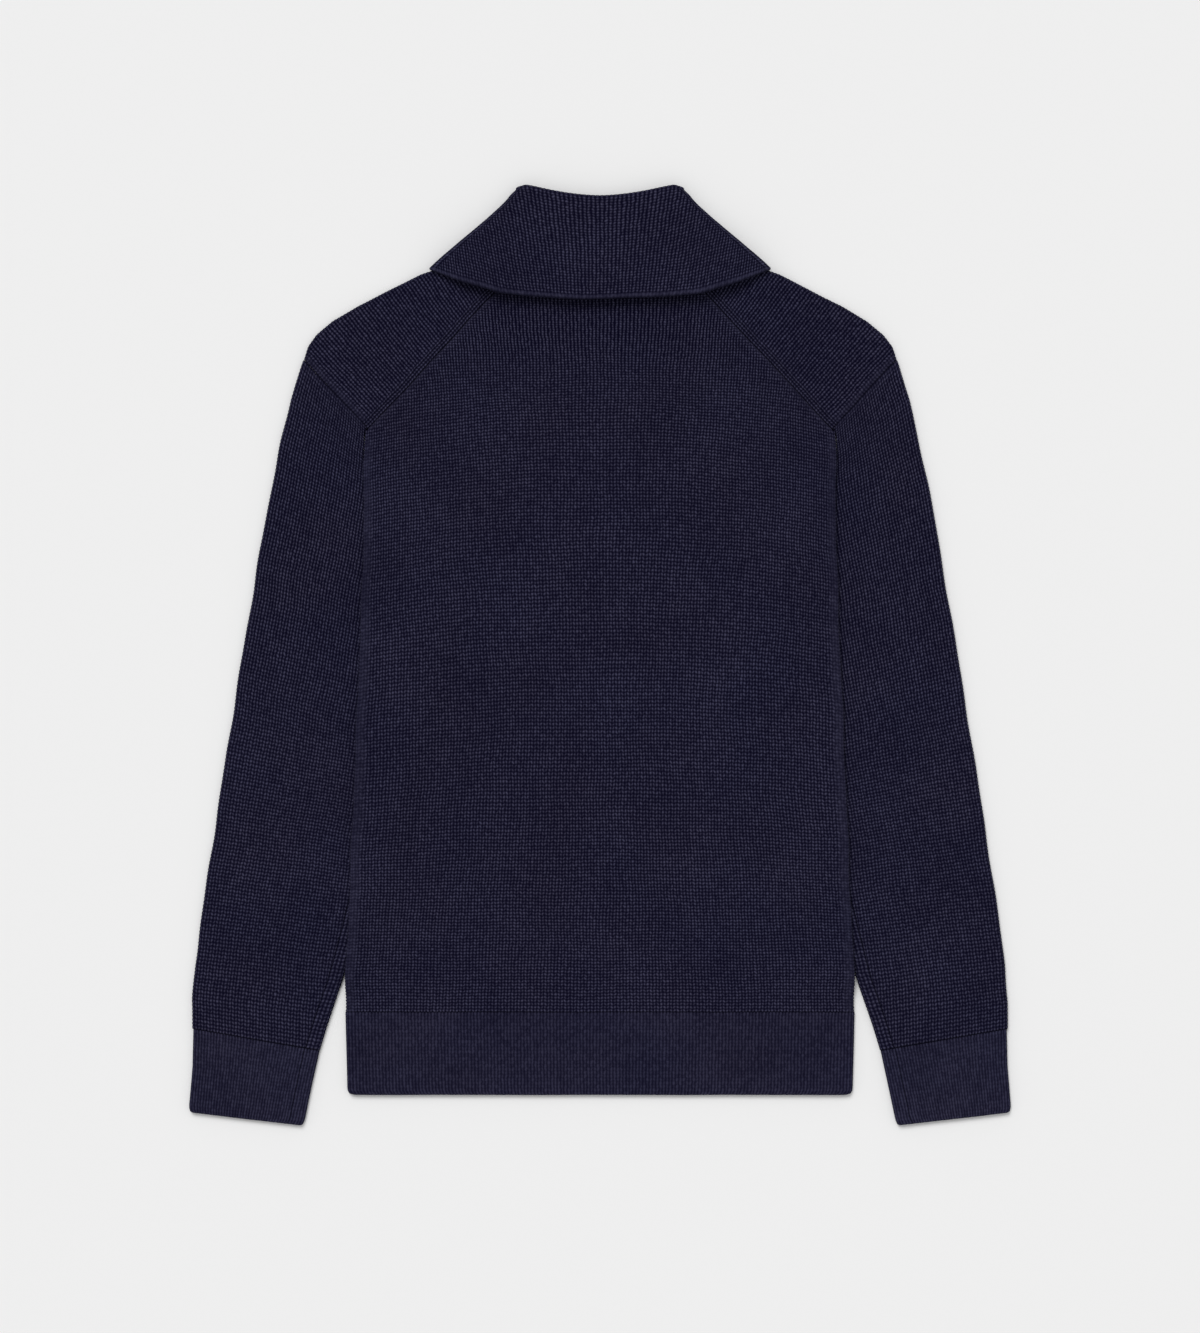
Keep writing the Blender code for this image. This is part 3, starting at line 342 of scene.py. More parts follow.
class Wall:
    """One piece of cloth, gathered from patches and then welded.

    stitches holds four columns for each point: wale, course, plain and seam; seam is the shade
    painted into a seam's hollow.
    """

    def __init__(self, name, cloth=CLOTH):
        self.name = name
        self.half = cloth / 2
        self.count = 0
        self.points = []
        self.stitches = []
        self.faces = []

    def add(self, points, stitches):
        """Store points with their stitch numbers, and return their indices."""
        index = np.arange(self.count, self.count + points[..., 0].size).reshape(points.shape[:-1])
        self.points.append(points.reshape(-1, 3))
        self.stitches.append(stitches.reshape(-1, 4))
        self.count += index.size
        return index

    def join(self, *triangles):
        """Store triangles, but none whose corners fall together."""
        every = np.concatenate([t.reshape(-1, 3) for t in triangles])
        a, b, c = np.concatenate(self.points)[every.T]
        size = np.linalg.norm(np.cross(b - a, c - a), axis=-1)
        self.faces.append(every[size > FLAT_TRIANGLE])

    def skin(self, middle, out, stitches, rise, beads):
        """One side of a patch: corners raised by `rise` along out, and a bead in each cell."""
        corner = self.add(middle + out * rise[..., None], stitches)
        a, b, c, d = corner[:-1, :-1], corner[:-1, 1:], corner[1:, 1:], corner[1:, :-1]
        if not beads:
            self.join(np.stack([a, b, c], axis=-1), np.stack([a, c, d], axis=-1))
            return corner

        def mean(values):
            return (values[:-1, :-1] + values[:-1, 1:] + values[1:, 1:] + values[1:, :-1]) / 4

        tops = mean(middle) + unit(mean(out)) * np.minimum(mean(rise) + beads, self.half)[..., None]
        top = self.add(tops, mean(stitches))
        wide = np.linalg.norm(np.diff(middle, axis=1), axis=-1)
        high = np.linalg.norm(np.diff(middle, axis=0), axis=-1)
        open_cell = ((np.maximum(wide[:-1], wide[1:]) > CLOSED)
                     & (np.maximum(high[:, :-1], high[:, 1:]) > CLOSED))
        self.join(*[np.stack([p, q, top], axis=-1)[open_cell]
                    for p, q in ((a, b), (b, c), (c, d), (d, a))])
        return corner

    def rim(self, outer, inner):
        """Zip two runs of points of any two counts, always by the one that lags behind.

        Each run's points are numbered by their share of its length. The two lists are
        sorted into one, and every step of it adds one triangle.
        """
        every = np.concatenate(self.points)
        shares = []
        for run in (outer, inner):
            lengths = np.linalg.norm(np.diff(every[run], axis=0), axis=1)
            shares.append(np.cumsum(lengths) / max(lengths.sum(), 1e-9))
        is_outer = np.concatenate([np.ones(len(outer) - 1, int), np.zeros(len(inner) - 1, int)])
        is_outer = is_outer[np.argsort(np.concatenate(shares), kind="stable")]
        i = np.cumsum(is_outer)
        j = np.cumsum(1 - is_outer)
        first = np.where(is_outer, outer[i - is_outer], outer[i])
        second = np.where(is_outer, inner[j], inner[j - (1 - is_outer)])
        third = np.where(is_outer, outer[i], inner[j])
        self.join(np.stack([first, second, third], axis=-1))

    def patch(self, surface, u, v, rough_u, rough_v, count, rims=(), sink=None, beads=0.0,
              thin=None, plain=None, seam=None):
        """Both sides of a patch. surface(u, v) is the middle of the cloth and its outward way.

        u and v are the steps of the outer side, rough_u and rough_v those of the inner one,
        and rims names the free edges. count gives the stitch numbers, sink how deep the
        outer corners lie, beads how far the stitches stand up from there, thin the share of
        the thickness that is left near a rounded edge, plain is 1 where the knit has no
        hollows between its stitches and so no shade painted into them, and seam is 1 where
        shade is painted into a seam's hollow.
        """
        sides = []
        for steps_u, steps_v, outward in ((u, v, True), (rough_u, rough_v, False)):
            grid_u, grid_v = cross(steps_u, steps_v)
            middle, out = surface(grid_u, grid_v)
            left = np.ones_like(grid_u) if thin is None else thin(grid_u, grid_v)
            extra = [np.zeros_like(grid_u) if rule is None else rule(grid_u, grid_v)
                     for rule in (plain, seam)]
            stitches = np.stack([*count(grid_u, grid_v), *extra], axis=-1)
            if outward:
                depth = np.zeros_like(grid_u) if sink is None else sink(grid_u, grid_v)
                sides.append(self.skin(middle, out, stitches, (self.half - depth) * left, beads))
            else:
                sides.append(self.skin(middle, out, stitches, -self.half * left, 0.0))
        for name in rims:
            run = {"first_u": np.s_[:, 0], "last_u": np.s_[:, -1],
                   "first_v": np.s_[0], "last_v": np.s_[-1]}[name]
            self.rim(sides[0][run], sides[1][run])
        return sides

    def finish(self, material):
        """Settle and weld the patches, then let the piece stand for its node."""
        points = settle(np.concatenate(self.points))
        faces = np.concatenate(self.faces)
        stitches = np.concatenate(self.stitches)
        mesh = bpy.data.meshes.new(self.name + "_knit")
        mesh.vertices.add(len(points))
        mesh.vertices.foreach_set("co", points.ravel())
        mesh.loops.add(faces.size)
        mesh.loops.foreach_set("vertex_index", faces.ravel())
        mesh.polygons.add(len(faces))
        mesh.polygons.foreach_set("loop_start", np.arange(0, faces.size, 3))
        mesh.update(calc_edges=True)
        layer = mesh.uv_layers.new(name="stitches")
        layer.data.foreach_set("uv", stitches[faces.ravel(), :2].ravel())
        # The attribute seam carries the shade painted into a seam's hollow.
        for column, name in ((2, "plain"), (3, "seam")):
            attribute = mesh.attributes.new(name, "FLOAT", "POINT")
            attribute.data.foreach_set("value", stitches[:, column])
        return add_piece(mesh, material, self.name)


# %% [markdown]
# ## Folds and layers
# Soft knit doesn't crease. Where a layer turns back under itself it goes round a small
# half circle, whose radius is half the way from layer to layer. A bend modifier could turn
# a flat grid, but a sine and a cosine of the angle give the fold and its outward way at
# once. Everything between two folds is a plan laid at a height.

# %% Folds and flat layers
def steps(count):
    """Shares from 0 to 1 in equal steps."""
    return np.linspace(0.0, 1.0, count + 1)


def lay(flat, height, up):
    """A plan laid at a height, and its outward way: straight up (1) or down (-1)."""
    height = np.broadcast_to(height, flat.shape[:-1])
    middle = np.concatenate([flat, height[..., None]], axis=-1)
    out = np.zeros_like(middle)
    out[..., 2] = up
    return middle, out


def turn(centre, outward, high, low, angle):
    """Half round fold: from the upper layer at angle 0 to the lower one at pi.

    It stands out by r sin a, at the height m + r cos a, where m is the mean of both layers
    and r half the way between them.
    """
    side, top = np.sin(angle), np.cos(angle)
    flat = centre + outward * ((high - low) / 2 * side)[..., None]
    middle = np.concatenate([flat, ((high + low) / 2 + (high - low) / 2 * top)[..., None]], axis=-1)
    return middle, np.concatenate([outward * side[..., None], top[..., None]], axis=-1)


def along(points, at):
    """Point at a share of a polyline's length: x and y read by the length up to there."""
    points = np.asarray(points, dtype=float)
    length = np.concatenate([[0.0], np.cumsum(np.linalg.norm(np.diff(points, axis=0), axis=1))])
    at = np.asarray(at) * length[-1]
    return np.stack([np.interp(at, length, points[:, k]) for k in (0, 1)], axis=-1)


# %% [markdown]
# ## Yarn and colour
# The yarn is a dark navy wool, matt, with a soft bloom of fibres. A photograph or a
# painted image could carry the stitches, but a formula on the stitch numbers stays sharp
# at any distance and follows every wale. The UV map counts stitches: it grows by one from
# wale to wale and from course to course. Cosines of it find the hollows between the
# beads, where shade is painted into the colour, a random number for each stitch makes one
# bead lighter than its neighbour, and a fine slanted wave gives the twist of the plies. An
# attribute of the piece takes that painted shade away where a border or a fold is stretched
# plain, and below 0 it paints the grooves between the wales darker, as in the yokes, which
# are pulled along them. A second attribute paints shade into the hollow of a seam.

# %% Node helpers
def calculate(tree, operation, first, second=0.0, third=0.0):
    """One step of arithmetic in a material; its inputs are numbers or sockets."""
    node = tree.nodes.new("ShaderNodeMath")
    node.operation = operation
    for socket, value in zip(node.inputs, (first, second, third)):
        if isinstance(value, (int, float)):
            socket.default_value = value
        else:
            tree.links.new(value, socket)
    return node.outputs[0]


def blend_colours(tree, share, dark, light):
    """Colour between dark and light at a share; each is four numbers or a socket."""
    node = tree.nodes.new("ShaderNodeMix")
    node.data_type = "RGBA"
    tree.links.new(share, node.inputs["Factor"])
    for name, colour in (("A", dark), ("B", light)):
        if isinstance(colour, (tuple, list)):
            node.inputs[name].default_value = colour
        else:
            tree.links.new(colour, node.inputs[name])
    return node.outputs["Result"]


# %% How the yarn strays
LEAN = (420.0, 0.52)            # noise scale, and how many wales a loop leans aside at most
WANDER = (120.0, 0.50)          # the same for a run of loops
SLANT = -0.9                    # courses that a loop moves for each wale that it leans
ZIGZAG = 0.10                   # courses step up at one wale's border and down at the next
CHANCE = 0.6                    # how far one stitch's tone may differ from the next
PATCHES = (14.0, 0.8)           # noise scale and spread of faded patches
FIBRES = (1900.0, 1.2)          # the same for single fibres
# The grooves and gaps are shade painted into the hollows between the stitches; plain knit takes
# part of it away.
PLAIN_GROOVE, PLAIN_GAP = 0.75, 0.6     # what plain knit takes from grooves and gaps
# SEAM_SHADE is how dark the shade painted into a seam's hollow is.
PLAIN_SHADE, SEAM_SHADE = -0.6, -0.9    # how far plain knit and a seam's hollow darken
HUES = (11.0, (0.92, 0.99, 1.06, 1.0))  # noise scale, and the light yarn's bluer neighbour
PLIES = (3.0, 2.0, 0.10)        # ply waves for each wale and each course, and their height
FUZZ = 0.25                     # height of the fibres
WOOL_FINISH = {
    "Roughness": 0.92, "Specular IOR Level": 0.04, "Sheen Weight": 0.025,
    "Sheen Roughness": 0.45, "Sheen Tint": (0.55, 0.56, 0.85, 1.0)}

# %% The knit
def yarn_material(name, dark, light, groove, gap, contrast, relief):
    """Knit by stitch numbers (w, c). With W = (1 + cos 2 pi w) / 2 and C alike from c,

    bead = (1 - groove W (1 - PLAIN_GROOVE p)) (1 - gap C (1 - PLAIN_GAP |p|)), where p is
    the attribute plain, and tone = bead^contrast, times a random factor for each stitch,
    fibres and faded patches. bead^contrast is the shade painted into the hollows between the
    beads, and the attribute seam paints shade into a seam's hollow. relief is the height of
    the bump that bead and plies give.
    """
    material = bpy.data.materials.new(name)
    material.use_nodes = True
    tree = material.node_tree
    shader = tree.nodes["Principled BSDF"]
    uv = tree.nodes.new("ShaderNodeUVMap")
    uv.uv_map = "stitches"
    split = tree.nodes.new("ShaderNodeSeparateXYZ")
    tree.links.new(uv.outputs[0], split.inputs[0])
    # The attribute seam says where shade is painted into a seam's hollow.
    plain, seam = (tree.nodes.new("ShaderNodeAttribute") for _ in range(2))
    plain.attribute_name, seam.attribute_name = "plain", "seam"
    place = tree.nodes.new("ShaderNodeTexCoord")

    def product(first, second):
        return calculate(tree, "MULTIPLY", first, second)

    def scaled(value, factor, offset):
        return calculate(tree, "MULTIPLY_ADD", value, factor, offset)

    def noise(scale, detail):
        node = tree.nodes.new("ShaderNodeTexNoise")
        node.inputs["Scale"].default_value = scale
        node.inputs["Detail"].default_value = detail
        tree.links.new(place.outputs["Object"], node.inputs["Vector"])
        return node.outputs["Fac"]

    def wave(value):
        return scaled(calculate(tree, "COSINE", product(value, 2 * math.pi)), 0.5, 0.5)

    lean = scaled(noise(LEAN[0], 1.0), LEAN[1], -LEAN[1] / 2)
    wander = scaled(noise(WANDER[0], 2.0), WANDER[1], -WANDER[1] / 2)
    wale = calculate(tree, "ADD", split.outputs[0], calculate(tree, "ADD", lean, wander))
    zigzag = calculate(tree, "COSINE", product(wale, math.pi))
    course = scaled(zigzag, ZIGZAG, split.outputs[1])
    course = calculate(tree, "ADD", course, product(lean, SLANT))
    smoothed = plain.outputs["Fac"]
    wale_share = scaled(smoothed, -PLAIN_GROOVE * groove, groove)
    course_share = scaled(calculate(tree, "ABSOLUTE", smoothed), -PLAIN_GAP * gap, gap)
    # bead is the shade painted into the hollows between the beads; it also gives the bump its
    # height.
    bead = product(calculate(tree, "SUBTRACT", 1.0, product(wave(wale), wale_share)),
                   calculate(tree, "SUBTRACT", 1.0, product(wave(course), course_share)))

    number = tree.nodes.new("ShaderNodeCombineXYZ")
    tree.links.new(calculate(tree, "FLOOR", wale), number.inputs[0])
    tree.links.new(calculate(tree, "FLOOR", course), number.inputs[1])
    chance = tree.nodes.new("ShaderNodeTexWhiteNoise")
    chance.noise_dimensions = "2D"
    tree.links.new(number.outputs[0], chance.inputs["Vector"])

    fibres = noise(FIBRES[0], 3.0)
    tone = calculate(tree, "POWER", bead, contrast)
    for factor, spread in ((chance.outputs["Value"], CHANCE), (noise(PATCHES[0], 4.0), PATCHES[1]),
                           (fibres, FIBRES[1])):
        tone = product(tone, scaled(factor, spread, 1.0 - spread / 2))
    # The second factor is the shade painted into a seam's hollow.
    for factor, shade in ((calculate(tree, "MAXIMUM", smoothed, 0.0), PLAIN_SHADE),
                          (seam.outputs["Fac"], SEAM_SHADE)):
        tone = product(tone, scaled(factor, shade, 1.0))
    bluer = [channel * factor for channel, factor in zip(light, HUES[1])]
    coloured = blend_colours(tree, scaled(noise(HUES[0], 3.0), 2.0, -0.5), light, bluer)
    tree.links.new(blend_colours(tree, tone, dark, coloured), shader.inputs["Base Color"])

    plies = wave(scaled(wale, PLIES[0], product(course, PLIES[1])))
    yarn = scaled(fibres, FUZZ, scaled(plies, PLIES[2], bead))
    bump = tree.nodes.new("ShaderNodeBump")
    bump.inputs["Strength"].default_value = 0.8
    bump.inputs["Distance"].default_value = relief
    tree.links.new(yarn, bump.inputs["Height"])
    tree.links.new(bump.outputs[0], shader.inputs["Normal"])
    for socket, value in WOOL_FINISH.items():
        shader.inputs[socket].default_value = value
    return material


# %% Navy yarns
# NAVY_DARK is the shade painted into the hollows between the stitches and ribs and into a seam's
# hollow; randomly darker stitches lean towards it too.
NAVY_DARK = (0.0010, 0.0005, 0.0090, 1.0)
NAVY_LIGHT = (0.0570, 0.0532, 0.0945, 1.0)
RIB_LIGHT = (0.0315, 0.0290, 0.0560, 1.0)
CUFF_LIGHT = (0.0350, 0.0327, 0.0622, 1.0)      # the cuffs' rib is a lighter copy of the hem's
cardigan = yarn_material("navy_half_cardigan", NAVY_DARK, NAVY_LIGHT, 0.68, 0.62, 1.9, 0.0008)
ribbing = yarn_material("navy_rib", NAVY_DARK, RIB_LIGHT, 0.54, 0.22, 1.6, 0.0004)
cuff_ribbing = yarn_material("navy_cuff_rib", NAVY_DARK, CUFF_LIGHT, 0.54, 0.22, 1.6, 0.0004)
print("yarns:", cardigan.name, ribbing.name, cuff_ribbing.name)

# %% [markdown]
# ## The back
# The back is one panel. On a real one its wales run from hem to neck and crowd together
# near the waist, and its courses sag a little towards the sides. So the grid's columns are
# wales and its rows are courses, placed by a table of how the knit is stretched at each
# height. Along each side the panel turns round a soft fold and runs back underneath as a
# strip to the side seam. Above the V point the diagonal seam cuts the wales off: grid
# corners past it are drawn back onto the seam, and the cells that close up are dropped.

# %% Stitches of the back
BACK_KNIT = (("y", "crowding", "course", "sag"), (
    (-0.3001, 0.972, 0.00272, 0.000),
    (-0.2226, 0.985, 0.00269, 0.000),
    (-0.1722, 1.008, 0.00272, 0.004),
    (-0.1218, 1.032, 0.00298, 0.008),
    (-0.0714, 1.030, 0.00297, 0.012),
    (-0.0210, 1.013, 0.00320, 0.014),
    (0.0294, 0.962, 0.00310, 0.016),
    (0.0798, 0.916, 0.00310, 0.018),
    (0.1302, 0.894, 0.00290, 0.018),
    (0.1806, 0.872, 0.00280, 0.018),
    (0.2226, 0.840, 0.00270, 0.018),
    (0.2646, 0.796, 0.00240, 0.012),
    (0.3110, 0.760, 0.00240, 0.000),
))
HALF_WALES = 78                 # wales from the middle of the back to its side fold
SAG_POWER = 2.5                 # power of the curve in which a course sags
FOLD_WALES = 3                  # wales on a fold's half circle
STRIP_WALES = 12                # and on the strip under the back
NECK_BACK = 0.3108
NECK_RISE = 0.0024              # how far the back's neckline rises to its corner
NECK_CORNER = (0.0794, 0.3136)
DIAGONAL = (("y", "x"), ((0.1885, 0.1960), (0.18980, 0.19515), (0.31340, 0.0791)))


def spread_wales(share, crowding):
    """Share of the half width where a share of the wales lies.

    It solves crowding t + (1 - crowding) t^3 = share by Newton's steps.
    """
    t = share + 0.0 * crowding
    for _ in range(8):
        value = crowding * t + (1 - crowding) * t ** 3 - share
        t = t - value / (crowding + 3 * (1 - crowding) * t ** 2)
    return t


def course_rows(low, high):
    """Heights of the courses between two ends: one more for each course pitch passed."""
    y = np.linspace(low, high, 400)
    pitch = read(BACK_KNIT, y, "course")
    counted = np.concatenate([[0.0], np.cumsum(np.diff(y) / ((pitch[1:] + pitch[:-1]) / 2))])
    total = int(round(counted[-1]))
    return np.interp(np.linspace(0, counted[-1], total + 1), counted, y)


LOWER_COURSES = course_rows(-0.3001, V_POINT)
UPPER_COURSES = course_rows(V_POINT, NECK_BACK)
lower_count = len(LOWER_COURSES) - 1
upper_count = len(UPPER_COURSES) - 1
print("courses on the back:", lower_count, "+", upper_count)


def height_of(rows, v):
    """Height of a share of the courses."""
    return np.interp(v * (len(rows) - 1), np.arange(len(rows)), rows)


def back_lower(u, v):
    """The back between its folds: x from the wale, y from the course and its sag."""
    y_side = height_of(LOWER_COURSES, v)
    t = spread_wales(2 * u - 1, read(BACK_KNIT, y_side, "crowding"))
    x = t * (read(BODY_SIDE, y_side, "edge") - REACH)
    y = y_side + read(BACK_KNIT, y_side, "sag") * (1 - np.abs(t) ** SAG_POWER)
    return lay(np.stack([x, y], axis=-1), back_height(x, y), 1.0)


def back_upper(u, v):
    """The back above the V point, drawn in to the diagonal seam at both sides.

    The seam's share of the half width is found for each row by reading the seam again at
    the height that the course has there.
    """
    y_row = height_of(UPPER_COURSES, v)
    half = read(BODY_SIDE, V_POINT, "edge") - REACH
    t = spread_wales(2 * u - 1, read(BACK_KNIT, y_row, "crowding"))
    start_sag = read(BACK_KNIT, V_POINT, "sag")

    def height_at(share):
        sagged = y_row + start_sag * (1 - np.abs(share) ** SAG_POWER) * (1 - v)
        return sagged + NECK_RISE * v * (share * half / NECK_CORNER[0]) ** 2

    limit = np.ones_like(t)
    for _ in range(40):
        limit = np.minimum(read(DIAGONAL, height_at(limit), "x") / half, 1.0)
    t = np.clip(t, -limit, limit)
    x, y = t * half, height_at(t)
    return lay(np.stack([x, y], axis=-1), back_height(x, y), 1.0)


def back_fold(side):
    """The fold at one side of the back."""
    def surface(u, v):
        y = height_of(LOWER_COURSES, v)
        x = side * (read(BODY_SIDE, y, "edge") - REACH)
        high = back_height(x, y)
        outward = np.stack([np.full_like(u, side), np.zeros_like(u)], axis=-1)
        return turn(np.stack([x, y], axis=-1), outward, high, high - LAYER, u * math.pi)
    return surface


def back_strip(side):
    """The strip under the back, from the fold in to the side seam, stepping down to it."""
    def surface(u, v):
        y = height_of(LOWER_COURSES, v)
        edge = read(BODY_SIDE, y, "edge") - REACH
        seam = read(BODY_SIDE, y, "seam")
        start = np.minimum(edge - 2 * SEAM, read(SLEEVE_EDGE, y, "x") - 3 * SEAM)
        half = np.where(u < 0.5, edge + (start - edge) * 2 * u,
                        start + (seam - start) * (2 * u - 1))
        low = back_height(edge, y) - LAYER
        slope = smooth((start - half) / np.clip(start - seam, SEAM, 0.012))
        z = low - read(BODY_SIDE, y, "drop") * (low - LOW) * slope
        return lay(np.stack([side * half, y], axis=-1), z, -1.0)
    return surface


# %% Make the back
def stitch_sink(u, v):
    """Every corner lies one stitch depth under the beads' tops."""
    return np.full_like(u, STITCH_DEPTH)


def hem_side_sink(u, v):
    """The same, but shallow along v = 0, where the hem is linked on stitch by stitch."""
    return STITCH_DEPTH * np.where(v < 1e-6, 0.4, 1.0)


FOLD_PLAIN = (0.955, 0.985, 0.75)       # share of the half width: start, full, how plain
DIAGONAL_PLAIN = (0.009, 0.55)          # width beside the diagonal seam, how plain
NECK_GROOVES = (0.7, -0.5)              # share of the upper courses, how much darker the grooves' painted shade grows


def fold_plain(u, v):
    """The last wales before a side fold are stretched nearly smooth."""
    start, full, most = FOLD_PLAIN
    return most * smooth((np.abs(2 * u - 1) - start) / (full - start)) * smooth((1 - v) / 0.03)


def upper_plain(u, v):
    """Darker painted shade in the grooves along the wales towards the neck, but plain knit beside
    the diagonal seam.
    """
    middle = back_upper(u, v)[0]
    beside = read(DIAGONAL, middle[..., 1], "x") - np.abs(middle[..., 0])
    grooves = NECK_GROOVES[1] * smooth(v / NECK_GROOVES[0])
    return grooves + (DIAGONAL_PLAIN[1] - grooves) * (1 - smooth(beside / DIAGONAL_PLAIN[0]))


def make_back():
    """The back with its two folds and strips."""
    wall = Wall("back")
    rough_half = np.array([0.5, 0.58, 0.66, 0.73, 0.8, 0.87, 0.94, 1.0])
    rough_across = np.concatenate([1 - rough_half[:0:-1], rough_half])
    rough_rows = steps(36)
    strip_at = np.array([0.0, 0.5, 0.625, 0.75, 0.875, 1.0])
    wall.patch(back_lower, steps(2 * HALF_WALES), steps(lower_count), rough_across, rough_rows,
               lambda u, v: (2 * HALF_WALES * u, lower_count * v), ("first_v",),
               sink=hem_side_sink, beads=STITCH_DEPTH, plain=fold_plain)
    for side in (-1, 1):
        wall.patch(back_fold(side), steps(FOLD_WALES), steps(lower_count), steps(4), rough_rows,
                   lambda u, v: (FOLD_WALES * u, lower_count * v), ("first_v", "last_v"),
                   sink=hem_side_sink, beads=STITCH_DEPTH,
                   plain=lambda u, v: fold_plain(np.ones_like(u), v))
        wall.patch(back_strip(side), strip_at, steps(lower_count), strip_at, rough_rows,
                   lambda u, v: (STRIP_WALES * u, lower_count * v),
                   ("first_v", "last_v", "last_u"), sink=hem_side_sink)
    wall.patch(back_upper, steps(2 * HALF_WALES), steps(upper_count), rough_across, steps(10),
               lambda u, v: (2 * HALF_WALES * u, upper_count * v),
               ("first_u", "last_u", "last_v"), sink=stitch_sink, beads=STITCH_DEPTH,
               plain=upper_plain)
    return wall.finish(cardigan)


back = make_back()

# %% [markdown]
# ## The front and its shoulders
# The front lies on the floor, so only its outline and the parts that wrap over the
# shoulders show. There its wales fan out from the shoulder's edge down to the diagonal
# seam, where three plain wales run along the seam as a border. The floor side keeps the
# stitches in the material alone, because nothing looks under the garment.

# %% Outlines of the front
YOKE_CORNER = (0.1953, 0.1898)
NECK_COLUMN = 0.0700
SHOULDER = (
    (0.2491, 0.2478), (0.2455, 0.2588), (0.2381, 0.2688), (0.2247, 0.2806), (0.2045, 0.2932),
    (0.1777, 0.3068), (0.1508, 0.3198), (0.1210, 0.3296), (0.0920, 0.3390))
YOKE_WALES = 62
BORDER_WALES = 3
BORDER = 0.0072                 # width of the plain border along the diagonal seam
YOKE_COURSES = 30
YOKE_COURSE = 0.0027


def shoulder_direction(at):
    """Way from the shoulder's outline into the panel, turning from the sleeve to the neck."""
    first = unit(np.subtract(YOKE_CORNER, SHOULDER[0]))
    last = unit(np.subtract(NECK_CORNER, SHOULDER[-1]))
    at = np.asarray(at)[..., None]
    return unit((1 - at) * first + at * last)


def shoulder_line(at):
    """Centre of the shoulder's fold at a share of the shoulder line, right side."""
    return along(SHOULDER, at) + shoulder_direction(at) * REACH


def fill(low, high, left, right):
    """Plan between four sides: the two ruled fills less the one of the corners (Coons)."""
    def plan(u, v):
        a, b = u[..., None], v[..., None]
        zero, one = np.zeros_like(u), np.ones_like(u)
        corners = ((1 - a) * (1 - b) * low(zero) + a * (1 - b) * low(one)
                   + (1 - a) * b * high(zero) + a * b * high(one))
        return (1 - b) * low(u) + b * high(u) + (1 - a) * left(v) + a * right(v) - corners
    return plan


def line(points):
    """A side of a plan read by its length."""
    return lambda at: along(points, at)


def rungs(points):
    """A side of a plan whose points are spread evenly over the shares."""
    points = np.asarray(points, dtype=float)
    index = np.linspace(0.0, 1.0, len(points))
    return lambda at: np.stack([np.interp(at, index, points[:, k]) for k in (0, 1)], axis=-1)


# %% Yoke surfaces
def yoke_plan(at, share):
    """Plan of the yoke: share 0 at the shoulder fold, 1 at the inner side of the border."""
    top = shoulder_line(at)
    seam = along((YOKE_CORNER, NECK_CORNER), at)
    inward = unit(seam - top)
    foot = seam - inward * BORDER
    return top + (foot - top) * share[..., None]


def yoke(side):
    """The yoke between fold and border. Courses follow the diagonal seam and are drawn
    back onto the shoulder's fold where they pass it."""
    def surface(u, v):
        at = 1 - u
        top = shoulder_line(at)
        foot = yoke_plan(at, np.ones_like(at))
        long = np.linalg.norm(foot - top, axis=-1)
        share = np.clip(1 - (1 - v) * YOKE_COURSES * YOKE_COURSE / long, 0.0, 1.0)
        flat = yoke_plan(at, share) * np.array([side, 1.0])
        return lay(flat, back_height(flat[..., 0], flat[..., 1]), 1.0)
    return surface


def yoke_border(side):
    """The plain border: from the yoke's foot to the diagonal seam."""
    def surface(u, v):
        at = 1 - u
        foot = yoke_plan(at, np.ones_like(at))
        seam = along((YOKE_CORNER, NECK_CORNER), at)
        flat = (foot + (seam - foot) * v[..., None]) * np.array([side, 1.0])
        return lay(flat, back_height(flat[..., 0], flat[..., 1]), 1.0)
    return surface


def shoulder_fold(side):
    """The fold along the shoulder, from the yoke above round to the floor layer."""
    def surface(u, v):
        mirror = np.array([side, 1.0])
        centre = shoulder_line(1 - u) * mirror
        outward = -shoulder_direction(1 - u) * mirror
        high = back_height(centre[..., 0], centre[..., 1])
        low = front_height(centre[..., 0], centre[..., 1])
        return turn(centre, outward, high, low, (1 - v) * math.pi)
    return surface


# %% Stitches of the front
FLOOR_STITCH = (0.0026, 0.0030)         # width and height of a stitch on the floor side
GROOVE_DEEP = 1.15                      # the border's grooves, in stitch depths
SEAM_DEEP = 1.5                         # and the sleeve's seam
YOKE_GROOVES, YOKE_END = -0.35, 0.50    # how plain the yoke is, and its last wale


def floor_count(plan):
    """Stitch numbers of a floor patch, counted from its place."""
    def count(u, v):
        flat = plan(u, v)
        return flat[..., 0] / FLOOR_STITCH[0], flat[..., 1] / FLOOR_STITCH[1]
    return count


def border_sink(u, v):
    """Ridges along the seam: a cosine for each plain wale, low between two and at the seam."""
    return STITCH_DEPTH * GROOVE_DEEP * (0.5 + 0.5 * np.cos(2 * math.pi * BORDER_WALES * v)) ** 1.5


def edge_sink(u, v):
    """The yoke's last course meets the border's first groove, its last wale the sleeve's seam."""
    beside_sleeve = (u > 0.999) & (v > 0.15) & (v < 0.999)
    deep = np.where(v > 0.999, GROOVE_DEEP, 1.0) * np.where(beside_sleeve, SEAM_DEEP, 1.0)
    return STITCH_DEPTH * deep


def shoulder_sink(u, v):
    """Stitches that rise out of the floor layer's smooth side as the fold comes up."""
    return STITCH_DEPTH * smooth(v * 1.5)


def yoke_plain(u, v):
    """Darker painted shade in the grooves along the wales, but a plain wale beside the sleeve's
    seam.
    """
    return YOKE_GROOVES + (YOKE_END - YOKE_GROOVES) * smooth((u - 0.95) / 0.03)


def yoke_seam_shade(u, v):
    """The seam to the sleeve is the yoke's last wale border; shade is painted into its hollow."""
    return 0.6 * smooth((u - 0.985) / 0.015)


